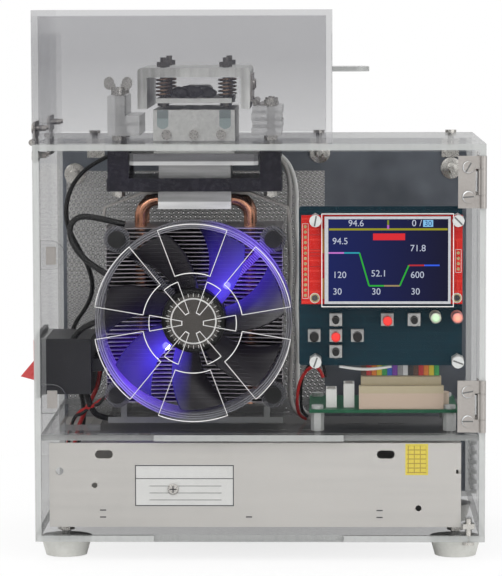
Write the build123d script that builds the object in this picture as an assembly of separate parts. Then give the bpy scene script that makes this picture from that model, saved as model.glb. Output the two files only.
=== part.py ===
from build123d import *
import math
import os

# Bench-top thermal cycler in a clear acrylic case.  Units are millimetres, +Z is up, the door faces -Y.
# Sizes are first given in the case frame: X = 0 and Y = 0 at the middle of the case, Z = 0 under the feet.
# The finished pieces are then shifted so that the origin is the middle of the whole object's footprint.

# Case
case_width = 217.0
case_depth = 140.0
case_height = 192.0
sheet = 3.0
foot_height = 9.0
foot_top_radius = 12.5
foot_base_radius = 10.0
foot_inset_x = 13.5
foot_inset_y = 19.0
shelf_level = 49.0
tab_length = 91.5
tab_offset = -5.3
play = 0.3
leaf_play = 0.4
face_gap = 0.02
rear_sheet = 1.0
rear_columns = 12
rear_rows = 4
rear_margin = 24.0
rear_opening = 11.0
rear_opening_height = 22.0
rear_pitch = 31.0
floor_slots = 5
floor_slot_pitch = 26.0
floor_slot_width = 5.0
floor_slot_length = 60.0
floor_slot_y = 18.0
wall_slots = 7
wall_slot_pitch = 5.0
wall_slot_height = 2.2
wall_slot_length = 38.0
wall_slot_y = 29.0
wall_slot_rise = 8.0
shelf_cut_length = 52.0
shelf_cut_width = 20.0
shelf_cut_y = -6.0
shelf_cut_inset = 6.0
clip_leg = 10.0
clip_width = 9.0
clip_hole = 6.2
clip_sheet = 1.2
rear_clips = (-88.0, 28.6, 97.0)
tee_screw_x = 100.6
tee_radius = 1.45
tee_nut = 5.5
tee_nut_thick = 2.4
tee_nut_level = 3.6
tee_reach = 9.0
tee_play = 0.1
foot_screw = 1.95
foot_bore = 4.4
foot_seat = 3.0
foot_head = 3.9
foot_head_height = 1.6
foot_nut = 7.0
foot_nut_thick = 2.4
foot_thread = 3.2
small_screw = 1.45
screw_sides = 8
head_sides = 12
pan_head = 2.9
pan_head_height = 1.5
leaf_bore = 1.3
leaf_head = 2.4
leaf_head_height = 1.1
door_head = 2.7
leaf_hole = 1.5
cover_bolt_offset = 7.0
stud_radius = 1.5
stud_play = 0.15

# Door
door_gap = 0.5
vent_x = -32.0
vent_z = 115.2
vent_outer = 47.6
vent_rib = 24.1
vent_inner = 21.0
vent_eye = 5.2
vent_outer_half = 20.5
vent_inner_half = 10.5
window_play = 1.5
plunger_hole = 2.6
magnet_low = 77.9
magnet_high = 147.5
magnet_inset = 3.3
magnet_width = 4.2
magnet_height = 8.0
catch_length = 11.9
catch_height = 14.0
catch_gap = 0.4
strike_thick = 0.9

# Butt hinges
hinge_barrel = 1.55
hinge_pin = 0.8
hinge_fit = 0.05
leaf_thick = 0.8
door_leaf_length = 25.0
door_leaf_width = 10.5
door_screw_offset = 7.2
door_screw_inset = 5.46
wall_screw_inset = 5.775
door_hinge_low = 75.0
door_hinge_high = 182.8
cover_leaf_length = 24.0
cover_leaf_width = 10.0
cover_screw_share = 0.66
cover_hinge_y = 42.0

# Clear cover over the block
cover_room = 21.3
cover_height = 63.5
cover_seat = 0.5
cover_tab_length = 18.5
cover_tab_width = 24.0
cover_tab_height = 34.0
cover_tab_thick = 2.4

# Thermal stack, from the sample block down
stack_x = -32.6
block_width = 40.0
block_length = 80.0
block_height = 17.8
block_y = 10.0
well_pitch = 9.0
well_columns = 2
well_rows = 8
well_radius = 3.2
well_tip_radius = 1.5
well_depth = 14.5
pocket_x = 15.4
pocket_y = 30.0
pocket_radius = 3.6
pocket_depth = 3.0
face_screw_level = 5.7
face_screw_pitch = 13.4
face_screw_length = 8.0
face_screw_head = 2.5
face_screw_head_height = 1.6
peltier_size = 39.6
peltier_thick = 3.5
peltier_plate = 0.9
spreader_width = 63.0
spreader_length = 90.0
spreader_thick = 5.6

# Cooler under the spreader plate
cooler_inset = 64.0
neck_width = 35.4
neck_length = 36.0
neck_height = 6.4
bracket_height = 7.0
bracket_width = 86.0
bracket_length = 48.0
leg_inset = 5.6
leg_width = 10.4
leg_length = 9.6
bolt_pitch = 38.0
base_height = 8.6
base_width = 36.0
base_length = 40.0
clip_arm_width = 8.0
clip_arm_flat = 9.0
clip_arm_reach = 3.0
clip_arm_drop = 15.0
pipe_radius = 3.0
pipe_spread = 27.0
pipe_bend = 8.5
pipe_pitch = 26.0
pipe_end = 2.0
pipe_fit = 0.1
pipe_seat = 0.05
fin_width = 86.8
fin_depth = 56.0
fin_thick = 0.6
notch_width = 31.2
notch_depth = 5.0
fin_count = 18
fin_top = 158.5
fin_bottom = 72.0
trough_length = 40.0
trough_inset = 8.0

# Fan
fan_radius = 47.6
fan_wall = 2.6
fan_depth = 25.0
fan_front = 8.5
hub_radius = 15.6
blade_count = 7
blade_tip = 43.8
blade_thick = 1.4
blade_pitch = 34.0
post_offset = 38.2
post_radius = 4.2
post_neck = 2.95
ear_rim = 2.2
ear_thick = 4.0
strut_thick = 3.0
strut_width = 3.5
axle_radius = 2.0
axle_fit = 0.05
axle_length = 12.0
cup_depth = 17.0
cup_inset = 1.6
cup_wall = 1.6

# Clamp with the heated plate
channel_width = 55.0
channel_length = 84.0
channel_height = 20.0
channel_wall = 4.6
clamp_lift = 0.5
clamp_leaf_length = 50.0
clamp_screw_rise = 11.0
clamp_screw_offset = 16.0
clamp_hinge_rise = 2.6
heater_width = 37.0
heater_length = 76.0
heater_thick = 2.4
heater_gap = 3.2
element_width = 14.0
element_length = 64.0
element_height = 5.0
pressure_radius = 1.5
pressure_rise = 5.0
spring_radius = 3.4
spring_wire = 0.9
spring_gap = 0.15

# Clamp posts
left_post_width = 14.2
left_post_rise = 6.4
post_play = 0.6
post_edge = 7.0
thumb_fit = 0.05
thumb_boss = 3.4
thumb_height = 4.0
wing_rise = 3.6
wing_width = 5.2
wing_thick = 1.8
post_nut = 2.5
stud_nut = 5.5
stud_end = 0.6
right_post_width = 14.8
post_stagger = 0.5
post_plates = 4

# Display on the door
board_thick = 1.6
board_width = 78.6
board_height = 77.0
board_left = 19.0
board_top = 170.6
board_standoff = 8.0
board_hole = 1.6
nylon_head = 2.9
nylon_flat = 2.75
nylon_head_height = 1.8
nylon_thread = 3.2
screen_width = 77.2
screen_height = 42.7
screen_left = 20.2
screen_top = 166.7
panel_width = 60.3
panel_height = 42.7
panel_left = 31.3
panel_sink = 0.4
switch_size = 6.0
switch_height = 3.6
plunger_radius = 1.7
cap_radius = 2.2
plunger_travel = 0.4
lamp_radius = 2.45
lamp_left = 65.6
lamp_pitch = 10.4
lamp_drop = 53.0
cross_left = 17.7
cross_drop = 62.2
cross_pitch = 10.4
cross_step = 7.7
start_left = 42.5
stop_left = 55.4
board_screw_left = 7.9
board_screw_right = 76.2
board_screw_low = 2.8
board_screw_high = 6.3

# Controller board and power supply
controller_margin = 9.5
controller_front = 14.0
controller_width = 72.2
controller_length = 56.0
controller_level = 9.0
controller_screw = 4.0
supply_width = 199.0
supply_length = 98.0
supply_height = 41.0
supply_left = -101.9
supply_lift = 3.6
supply_front = 1.6
supply_sheet = 1.2
supply_holes = ((5.0, 27.2, 1.9), (21.9, 20.3, 1.4), (178.5, 9.2, 1.5))
supply_slots = (26.5, 162.7)
supply_slot_drop = 5.6
supply_slot_length = 8.6
supply_slot_height = 4.0
louvre_pitch_x = 20.0
louvre_pitch_y = 22.0
louvre_length = 14.0
louvre_width = 3.0
bay_length = 14.0
strip_inset = 14.0
strip_length = 70.0
strip_height = 11.0
strip_pitch = 8.6

# Wires of the supply and of the modules
wire_radius = 1.1
supply_pitch = 8.2
module_pitch = 3.6

# Ribbon between the two boards
header_height = 15.4
header_width = 41.0
header_inset = 7.0
header_pitch = 2.54
socket_width = 5.2
socket_gap = 2.2
socket_pitch = 8.6
ribbon_width = 38.1
ribbon_thick = 1.1
ribbon_top = 146.0
socket_rise = 7.0

# Mains inlet
inlet_length = 47.0
inlet_height = 27.4
inlet_depth = 22.0
inlet_flange = 2.0
inlet_rim = 2.2
inlet_play = 0.2
inlet_y = -14.0
inlet_z = 90.5
inlet_wall = 4.0
rocker_width = 13.0
rocker_height = 19.0
rocker_gap = 2.8
rocker_rise = 10.4
rocker_dip = 3.5
rocker_pivot = 3.0
rocker_tilt = 20.0
rocker_pin = 1.2
rocker_pin_reach = 1.2
rocker_pin_fit = 0.05
socket_length = 22.8
socket_height = 16.0

# Levels and faces that follow from the sizes above
wall_x = case_width / 2
inner_x = wall_x - sheet
front_y = -case_depth / 2
back_y = case_depth / 2
base_z = foot_height
floor_z = base_z + sheet
roof_top = base_z + case_height
roof_z = roof_top - sheet
shelf_z = base_z + shelf_level
shelf_top = shelf_z + sheet
door_back = front_y + sheet
door_low = shelf_top + door_gap
door_high = roof_z - door_gap
door_left = -inner_x + door_gap
barrel_x = inner_x + hinge_barrel
barrel_y = front_y - hinge_barrel
door_right = inner_x - leaf_thick - leaf_play
cover_axis_x = -wall_x - hinge_barrel
cover_axis_z = roof_top + cover_seat / 2
cover_z = roof_top + cover_seat
right_post_x = stack_x + channel_width / 2 + post_play
cover_right = right_post_x + right_post_width + post_stagger + cover_room + sheet
block_z = roof_z + play
block_top = block_z + block_height
spreader_top = block_z - peltier_thick
neck_top = spreader_top - spreader_thick
bracket_top = neck_top - neck_height
base_top = bracket_top - bracket_height
cooler_base_z = base_top - base_height
clamp_z = block_top + clamp_lift
clamp_top = clamp_z + channel_height
heater_z = block_top + heater_gap
supply_z = floor_z + supply_lift
cooler_y = front_y + cooler_inset
controller_left = inner_x - controller_margin - controller_width
controller_y = front_y + controller_front
header_left = controller_left + controller_width - header_inset - header_width
fan_y = front_y + fan_front
screen_y = door_back + play + 1.0
screen_back = screen_y + board_thick
board_y = door_back + board_standoff

parts = {}


def block(x0, x1, y0, y1, z0, z1):
    """A box between two corners."""
    middle = ((x0 + x1) / 2, (y0 + y1) / 2, (z0 + z1) / 2)
    return Pos(*middle) * Box(x1 - x0, y1 - y0, z1 - z0)


def rod(radius, start, end):
    """A round bar between two points on one axis."""
    a = Vector(*start)
    b = Vector(*end)
    plane = Plane(origin=a, z_dir=b - a)
    return extrude(plane * Circle(radius), (b - a).length)


def shank(radius, start, end, sides=screw_sides):
    """A fastener's shank or its hole, many-sided for a light model; like sides of the two stand face to face."""
    a = Vector(*start)
    b = Vector(*end)
    plane = Plane(origin=a, z_dir=b - a)
    return extrude(plane * RegularPolygon(radius, sides), (b - a).length)


def drill(x, y, z, radius):
    """An upright hole through one sheet whose lower face is at z."""
    return shank(radius, (x, y, z - sheet), (x, y, z + 2 * sheet))


def screw(head_radius, head, radius, length, start, direction, nut=None):
    """A screw whose shank runs against the head's direction; nut gives its nut's place, thickness and width."""
    plane = Plane(origin=start, z_dir=direction)
    body = extrude(plane * RegularPolygon(head_radius, head_sides), head)
    body += extrude(plane * RegularPolygon(radius, screw_sides), -length)
    if nut:
        reach, thick, across = nut
        body += extrude(plane.offset(-reach) * RegularPolygon(across / 2, 6, major_radius=False), -thick)
    return body


def keep(name, *solids):
    """Stores the solids of one node."""
    parts[name] = list(solids)


def mirror_x(values):
    """Each value and its opposite."""
    return [sign * value for value in values for sign in (-1, 1)]


# Case

def tee_slot():
    """Cut in the lower front panel for its screw and square nut."""
    x = tee_screw_x
    half = tee_radius + tee_play
    slot = block(x - half, x + half, front_y - 1, door_back + 1, floor_z - 1, floor_z + tee_reach)
    half = tee_nut / 2 + tee_play
    low = floor_z + tee_nut_level - tee_play
    high = floor_z + tee_nut_level + tee_nut_thick + tee_play
    return slot + block(x - half, x + half, front_y - 1, door_back + 1, low, high)


def bottom_plate():
    plate = block(-wall_x, wall_x, front_y, back_y, base_z, floor_z)
    half = tab_length / 2 + face_gap
    plate -= block(tab_offset - half, tab_offset + half, front_y - 1, door_back + face_gap, base_z - 1, floor_z + 1)
    plate -= vent_slots()
    plate -= drill(tee_screw_x, front_y + sheet / 2, base_z, tee_radius + tee_play)
    for x, y in foot_places():
        plate -= drill(x, y, base_z, foot_screw + stud_play)
    keep("bottom_plate", plate)


def vent_slots():
    """Air slots under the power supply."""
    cut = Part()
    for k in range(floor_slots):
        x = (k - (floor_slots - 1) / 2) * floor_slot_pitch
        cut += Pos(x, floor_slot_y, base_z) * Box(floor_slot_width, floor_slot_length, 4 * sheet)
    return cut


def foot_places():
    rows = (front_y + foot_inset_y, back_y - foot_inset_y)
    return [(x, y) for x in mirror_x([wall_x - foot_inset_x]) for y in rows]


def feet():
    """Tapered rubber feet, each with a recess for its screw."""
    solids = []
    screws = []
    top = foot_height - face_gap
    hole = foot_screw + play
    for x, y in foot_places():
        profile = Polyline((foot_bore, 0), (foot_base_radius, 0), (foot_top_radius, top), (hole, top),
                           (hole, foot_seat), (foot_bore, foot_seat), close=True)
        solids.append(Pos(x, y, 0) * revolve(Plane.XZ * make_face(profile), Axis.Z))
        grip = floor_z - foot_seat + 2 * face_gap
        place = (x, y, foot_seat - face_gap)
        nut = (grip, foot_nut_thick, foot_nut)
        screws.append(screw(foot_head, foot_head_height, foot_screw, grip + foot_thread, place, (0, 0, -1), nut))
    keep("feet", *solids)
    return screws


def side_wall(name, side):
    x0 = side * wall_x
    x1 = side * inner_x
    wall = block(min(x0, x1), max(x0, x1), front_y, back_y, floor_z, roof_z)
    if side < 0:
        half_y = inlet_length / 2 + inlet_play
        half_z = inlet_height / 2 + inlet_play
        wall -= Pos(-wall_x, inlet_y, inlet_z) * Box(4 * sheet, 2 * half_y, 2 * half_z)
        for y, z in cover_bolt_places(-1):
            wall -= shank(leaf_bore, (-wall_x - 1, y, z), (-inner_x + 1, y, z))
    else:
        y = front_y + wall_screw_inset
        for z in door_screw_levels():
            wall -= shank(leaf_bore, (inner_x - 1, y, z), (wall_x + 1, y, z))
        for k in range(wall_slots):
            z = floor_z + wall_slot_rise + wall_slot_height / 2 + k * wall_slot_pitch
            wall -= Pos(wall_x, wall_slot_y, z) * Box(4 * sheet, wall_slot_length, wall_slot_height)
    keep(name, wall)


def top_plate():
    plate = block(-wall_x, wall_x, front_y, back_y, roof_z, roof_top)
    half_x = block_width / 2 + play
    half_y = block_length / 2 + play
    plate -= Pos(stack_x, block_y, roof_z) * Box(2 * half_x, 2 * half_y, 4 * sheet)
    for x, y in bracket_bolts():
        plate -= Pos(x, y, roof_z) * Cylinder(stud_radius + stud_play, 4 * sheet)
    for x in rear_clip_places():
        plate -= drill(x, back_y - rear_sheet - clip_hole, roof_z, small_screw + stud_play)
    keep("top_plate", plate)


def shelf():
    side = inner_x - face_gap
    plate = block(-side, side, door_back + face_gap, back_y - rear_sheet, shelf_z, shelf_top)
    half = tab_length / 2
    plate += block(tab_offset - half, tab_offset + half, front_y, door_back + 1, shelf_z, shelf_top)
    x = -inner_x + shelf_cut_inset + shelf_cut_width / 2
    plate -= Pos(x, shelf_cut_y, shelf_z) * Box(shelf_cut_width, shelf_cut_length, 4 * sheet)
    for x, y in controller_screws():
        plate -= drill(x, y, shelf_z, board_hole)
    keep("shelf", plate)


def lower_front_panel():
    """Fixed panel before the power supply; its tab and the shelf's tab lock it as laser-cut joints do."""
    side = inner_x - face_gap
    panel = block(-side, side, front_y, door_back, floor_z + face_gap, shelf_top)
    half = tab_length / 2
    panel += block(tab_offset - half, tab_offset + half, front_y, door_back, base_z, floor_z + 1)
    half += face_gap
    panel -= block(tab_offset - half, tab_offset + half, front_y - 1, door_back + 1, shelf_z - face_gap, shelf_top + 1)
    panel -= tee_slot()
    keep("lower_front_panel", panel)


def rear_clip_places():
    return rear_clips


def rear_panel():
    """Perforated sheet with a plain border; the pattern here is coarse, with one slot for many holes."""
    side = inner_x - face_gap
    panel = block(-side, side, back_y - rear_sheet, back_y, floor_z + face_gap, roof_z - face_gap)
    step = 2 * (inner_x - rear_margin) / (rear_columns - 1)
    for i in range(rear_columns):
        for j in range(rear_rows):
            x = -inner_x + rear_margin + i * step
            z = shelf_top + rear_opening_height + j * rear_pitch
            panel -= Pos(x, back_y, z) * Box(rear_opening, 4 * rear_sheet, rear_opening_height)
    for x in rear_clip_places():
        z = roof_z - clip_hole
        panel -= shank(small_screw + stud_play, (x, back_y - 5, z), (x, back_y + 2, z))
    keep("rear_panel", panel)


def case_fixings(extra):
    """Foot screws, the front panel's screw and square nut, and the small angle brackets behind the roof."""
    solids = list(extra)
    y = front_y + sheet / 2
    place = (tee_screw_x, y, base_z - face_gap)
    solids.append(screw(pan_head, pan_head_height, tee_radius, sheet + tee_reach - 2 * play, place, (0, 0, -1)))
    half = tee_nut / 2
    z = floor_z + tee_nut_level
    nut = block(tee_screw_x - half, tee_screw_x + half, y - half, y + half, z, z + tee_nut_thick)
    solids.append(nut - shank(tee_radius + face_gap, (tee_screw_x, y, z - 1), (tee_screw_x, y, z + tee_reach)))
    for x in rear_clip_places():
        y1 = back_y - rear_sheet - face_gap
        z1 = roof_z - face_gap
        y2 = back_y - rear_sheet - clip_hole
        z2 = roof_z - clip_hole
        x0 = x - clip_width / 2
        x1 = x + clip_width / 2
        leg = block(x0, x1, y1 - clip_leg, y1, z1 - clip_sheet, z1)
        leg += block(x0, x1, y1 - clip_sheet, y1, z1 - clip_leg, z1)
        leg -= shank(small_screw + face_gap, (x, y2, z1 - 3), (x, y2, z1 + 1))
        leg -= shank(small_screw + face_gap, (x, y1 - 3, z2), (x, y1 + 1, z2))
        solids.append(leg)
        for start, direction, grip in (((x, y2, roof_top + face_gap), (0, 0, 1), sheet + clip_sheet),
                                       ((x, back_y + face_gap, z2), (0, 1, 0), rear_sheet + clip_sheet)):
            solids.append(screw(pan_head, pan_head_height, small_screw, grip + 1.0, start, direction))
    keep("case_fixings", *solids)


# Hinges

def door_hinges():
    return (door_hinge_low, door_hinge_high)


def door_screw_offsets():
    return (-door_screw_offset, door_screw_offset)


def door_screw_levels():
    return [z + dz for z in door_hinges() for dz in door_screw_offsets()]


def door_screw_x():
    return barrel_x - hinge_barrel - door_screw_inset


def barrel_parts(length, play_z=0.15):
    """Spans of the outer and the middle knuckles, along the barrel."""
    third = length / 4
    outer = [(-length / 2, -third - play_z / 2), (third + play_z / 2, length / 2)]
    middle = [(-third + play_z / 2, third - play_z / 2)]
    return outer, middle


def door_hinge(z, spans, moving):
    """One leaf of a door hinge with its knuckles; the moving leaf lies on the door's face."""
    body = None
    for low, high in spans:
        ring = rod(hinge_barrel, (barrel_x, barrel_y, z + low), (barrel_x, barrel_y, z + high))
        if moving:
            arm = block(door_right - 1.2, barrel_x, front_y - leaf_thick, front_y, z + low, z + high)
        else:
            arm = block(inner_x - leaf_thick, inner_x, barrel_y, front_y + 1.0, z + low, z + high)
        piece = ring + arm
        body = piece if body is None else body + piece
    half = door_leaf_length / 2
    if moving:
        x0 = barrel_x - hinge_barrel - door_leaf_width
        body += block(x0, door_right - 1.0, front_y - leaf_thick, front_y, z - half, z + half)
    else:
        body += block(inner_x - leaf_thick, inner_x, front_y + 0.9, front_y + door_leaf_width, z - half, z + half)
    body -= rod(hinge_pin + hinge_fit, (barrel_x, barrel_y, z - half - 1), (barrel_x, barrel_y, z + half + 1))
    return body


def door_hinges_all():
    moving = []
    fixed = []
    pins = []
    outer, middle = barrel_parts(door_leaf_length)
    x_screw = door_screw_x()
    y_screw = front_y + wall_screw_inset
    half = door_leaf_length / 2
    for z in door_hinges():
        swing = door_hinge(z, outer, True)
        still = door_hinge(z, middle, False)
        for dz in door_screw_offsets():
            swing -= shank(leaf_hole, (x_screw, front_y - 2, z + dz), (x_screw, front_y + 1, z + dz))
            still -= shank(leaf_bore, (inner_x - 2, y_screw, z + dz), (inner_x + 1, y_screw, z + dz))
            grip = sheet + leaf_thick + 2 * face_gap
            place = (x_screw, front_y - leaf_thick - face_gap, z + dz)
            moving.append(screw(door_head, leaf_head_height, leaf_hole - stud_play, grip + 1.0, place, (0, -1, 0)))
            place = (inner_x - leaf_thick - face_gap, y_screw, z + dz)
            shaft = leaf_bore - stud_play
            fixed.append(screw(leaf_head, leaf_head_height, shaft, grip - 2 * play, place, (-1, 0, 0)))
        moving.append(swing)
        fixed.append(still)
        pins.append(rod(hinge_pin, (barrel_x, barrel_y, z - half), (barrel_x, barrel_y, z + half)))
    keep("door_hinge_leaves", *moving)
    return fixed, pins


def cover_hinges():
    return (-cover_hinge_y, cover_hinge_y)


def cover_bolt_places(side):
    """Bolt places of the cover hinges, above (+1) or below (-1) the barrel."""
    rise = cover_leaf_width * cover_screw_share
    return [(y + dy, cover_axis_z + side * rise) for y in cover_hinges() for dy in cover_bolt_offsets()]


def cover_bolt_offsets():
    return (-cover_bolt_offset, cover_bolt_offset)


def cover_hinge(y, spans, side):
    """One leaf of a cover hinge; side +1 is the cover's leaf, -1 the wall's."""
    body = None
    half = cover_leaf_length / 2
    for low, high in spans:
        ends = [(cover_axis_x, y + end, cover_axis_z) for end in (low, high)]
        ring = rod(hinge_barrel, *ends)
        z0 = cover_axis_z
        z1 = cover_axis_z + side * 2.4
        arm = block(-wall_x - leaf_thick, -wall_x, y + low, y + high, min(z0, z1), max(z0, z1))
        body = ring + arm if body is None else body + ring + arm
    z0 = cover_axis_z + side * 2.2
    z1 = cover_axis_z + side * cover_leaf_width
    body += block(-wall_x - leaf_thick, -wall_x, y - half, y + half, min(z0, z1), max(z0, z1))
    ends = [(cover_axis_x, end, cover_axis_z) for end in (y - half - 1, y + half + 1)]
    return body - rod(hinge_pin + hinge_fit, *ends)


def cover_hinges_all():
    moving = []
    fixed = []
    pins = []
    outer, middle = barrel_parts(cover_leaf_length)
    for y in cover_hinges():
        swing = cover_hinge(y, middle, 1)
        still = cover_hinge(y, outer, -1)
        for dy in cover_bolt_offsets():
            for side in (1, -1):
                z = cover_axis_z + side * cover_leaf_width * cover_screw_share
                hole = shank(leaf_bore, (-wall_x - 2, y + dy, z), (-wall_x + 1, y + dy, z))
                grip = leaf_thick + sheet + 2 * face_gap
                place = (-wall_x - leaf_thick - face_gap, y + dy, z)
                bolt = screw(leaf_head, leaf_head_height, leaf_bore - stud_play, grip + 2.0, place, (-1, 0, 0))
                if side > 0:
                    swing -= hole
                    moving.append(bolt)
                else:
                    still -= hole
                    fixed.append(bolt)
        moving.append(swing)
        fixed.append(still)
        ends = [(cover_axis_x, y + end * cover_leaf_length / 2, cover_axis_z) for end in (-1, 1)]
        pins.append(rod(hinge_pin, *ends))
    keep("cover_hinge_leaves", *moving)
    return fixed, pins


# Door

def sector(inner, outer, middle, half):
    """A ring sector in the door's plane, its corners kept sharp as cut by a laser."""
    a0 = math.radians(middle - half)
    a1 = math.radians(middle + half)
    am = math.radians(middle)
    outer_arc = ThreePointArc(*[(outer * math.cos(a), outer * math.sin(a)) for a in (a0, am, a1)])
    inner_arc = ThreePointArc(*[(inner * math.cos(a), inner * math.sin(a)) for a in (a1, am, a0)])
    side_a = Line(outer_arc @ 1, inner_arc @ 0)
    side_b = Line(inner_arc @ 1, outer_arc @ 0)
    return make_face([outer_arc, side_a, inner_arc, side_b])


def door_panel():
    panel = block(door_left, door_right, front_y, door_back, door_low, door_high)
    plane = Plane(origin=(vent_x, front_y - 1, vent_z), x_dir=(1, 0, 0), z_dir=(0, -1, 0))
    for k in range(6):
        outer = sector(vent_rib, vent_outer, 30 + 60 * k, vent_outer_half)
        inner = sector(vent_eye, vent_inner, 60 * k, vent_inner_half)
        panel -= extrude(plane * outer, amount=-(sheet + 2))
        panel -= extrude(plane * inner, amount=-(sheet + 2))
    x = panel_left + panel_width / 2
    z = screen_top - panel_height / 2
    panel -= Pos(x, front_y, z) * Box(panel_width + 2 * window_play, 4 * sheet, panel_height + 2 * window_play)
    for x, z, kind in switches():
        hole = cap_radius + play if kind == "cap" else plunger_hole
        panel -= rod(hole, (x, front_y - 1, z), (x, door_back + 1, z))
    for x, z in lamps():
        panel -= rod(lamp_radius + play, (x, front_y - 1, z), (x, door_back + 1, z))
    for x, z in board_screws():
        panel -= shank(board_hole, (x, front_y - 1, z), (x, door_back + 1, z))
    for z in door_screw_levels():
        panel -= shank(leaf_hole, (door_screw_x(), front_y - 1, z), (door_screw_x(), door_back + 1, z))
    keep("door_panel", panel)


def switches():
    """Tact switches: X, Z and whether a round cap or the bare plunger shows."""
    x = board_left + cross_left
    z = board_top - cross_drop
    places = [(x - cross_pitch, z, "cap"), (x, z, "cap"), (x + cross_pitch, z, "cap")]
    places += [(x, z + cross_step, "bare"), (x, z - cross_step, "bare")]
    places += [(board_left + start_left, z + cross_step, "cap"), (board_left + stop_left, z + cross_step, "bare")]
    return places


def lamps():
    return [(board_left + x, board_top - lamp_drop) for x in (lamp_left, lamp_left + lamp_pitch)]


def board_screws():
    low = board_top - board_height + board_screw_low
    high = board_top - board_screw_high
    return [(board_left + x, z) for x in (board_screw_left, board_screw_right) for z in (low, high)]


def display_board():
    y0 = board_y
    y1 = board_y + board_thick
    board = block(board_left, board_left + board_width, y0, y1, board_top - board_height, board_top)
    board = fillet(board.edges().filter_by(Axis.Y), 1.5)
    for x, z in board_screws():
        board -= shank(board_hole, (x, y0 - 1, z), (x, y1 + 1, z))
    keep("display_board", board)


def display_fixings():
    """Nylon screws through the door, each with its six-sided spacer behind the door and its nut behind the board."""
    solids = []
    reach = board_y + board_thick
    for x, z in board_screws():
        body = screw(nylon_head, nylon_head_height, small_screw, reach - front_y + nylon_thread,
                     (x, front_y - face_gap, z), (0, -1, 0))
        spans = [(door_back + face_gap, board_y - face_gap)]
        if z > board_top - 20:
            spans = [(screen_back + face_gap, board_y - face_gap)]
        spans.append((reach + face_gap, reach + 2.2))
        for y0, y1 in spans:
            plane = Plane(origin=(x, y0, z), z_dir=(0, 1, 0))
            body += extrude(plane * RegularPolygon(nylon_flat, 6, major_radius=False), y1 - y0)
        solids.append(body)
    keep("display_fixings", *solids)


def screen_parts():
    """Display module: its board, the framed panel that fills the window, and two rows of pins to the board behind."""
    right = screen_left + screen_width
    board = block(screen_left, right, screen_y, screen_back, screen_top - screen_height, screen_top)
    for x, z in board_screws():
        if z > screen_top - screen_height:
            board -= shank(small_screw + play, (x, screen_y - 1, z), (x, screen_back + 1, z))
    keep("screen_board", board)
    low = screen_top - panel_height
    x0 = panel_left
    x1 = panel_left + panel_width
    glass = block(x0, x1, front_y + panel_sink, screen_y - face_gap, low + 0.4, screen_top - 0.4)
    glass -= block(x0 + 1.8, x1 - 1.2, front_y, front_y + panel_sink + 0.4, low + 1.6, screen_top - 1.6)
    keep("screen_panel", glass)
    y0 = screen_back + face_gap
    y1 = board_y - face_gap
    left_pins = block(screen_left + 0.9, screen_left + 3.4, y0, y1, low + 3.6, screen_top - 3.6)
    right_pins = block(right - 3.4, right - 0.9, y0, y1, screen_top - 26.0, screen_top - 15.8)
    return [left_pins, right_pins]


def switch_parts(pins):
    """Tact switches with their plungers and caps, and the lamps; pins join the switch bodies' node."""
    bodies = list(pins)
    half = switch_size / 2
    face = board_y - switch_height
    count = 0
    for x, z, kind in switches():
        body = block(x - half, x + half, face, board_y - face_gap, z - half, z + half)
        body -= rod(plunger_radius + play / 2, (x, face - 1, z), (x, board_y - 1.0, z))
        bodies.append(body)
        count += 1
        tip = front_y - 0.6 if kind == "cap" else front_y + 1.2
        root = board_y - 1.0 - play - plunger_travel
        stem = rod(plunger_radius, (x, face - 0.6, z), (x, root, z))
        if kind == "cap":
            cap = rod(cap_radius, (x, tip, z), (x, face - 0.6, z))
            cap = chamfer(cap.edges().sort_by(Axis.Y)[0:1], 0.5)
            button = cap + stem
        else:
            button = rod(plunger_radius - 0.1, (x, tip, z), (x, face - 0.4, z)) + stem
        keep(f"button_{count}", button)
    keep("display_parts", *bodies)
    lights = []
    for x, z in lamps():
        tip = front_y - 0.8
        lens = rod(lamp_radius, (x, tip, z), (x, board_y - 1.0, z))
        lens = chamfer(lens.edges().sort_by(Axis.Y)[0:1], 1.2)
        lens += rod(lamp_radius + 0.4, (x, board_y - 1.6, z), (x, board_y - face_gap, z))
        lights.append(lens)
    keep("indicator_lamps", *lights)


def magnet_catches():
    """D-shaped tabs on the left wall, each with its magnet, and the steel plates on the door."""
    catches = []
    strikes = []
    for z in (magnet_low, magnet_high):
        y0 = door_back + strike_thick + catch_gap
        y1 = y0 + sheet
        plane = Plane(origin=(-inner_x + face_gap, y1, z), x_dir=(1, 0, 0), z_dir=(0, -1, 0))
        half = catch_height / 2
        outline = Pos(catch_length / 4, 0) * Rectangle(catch_length / 2, catch_height)
        outline += Pos(catch_length - half, 0) * Circle(half)
        outline &= Pos(catch_length / 2, 0) * Rectangle(catch_length, catch_height)
        tab = extrude(plane * outline, sheet)
        x0 = -inner_x + magnet_inset
        x1 = x0 + magnet_width
        rise = magnet_height / 2
        tab -= block(x0, x1, y0 - 1, y1 + 1, z - rise, z + rise)
        catches.append(tab)
        catches.append(block(x0 + face_gap, x1 - face_gap, y0, y1, z - rise + face_gap, z + rise - face_gap))
        strikes.append(block(x0 - play, x1 + play, door_back + face_gap, door_back + strike_thick,
                             z - rise - play, z + rise + play))
    keep("magnet_catches", *catches)
    keep("strike_plates", *strikes)


# Cover

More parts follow.
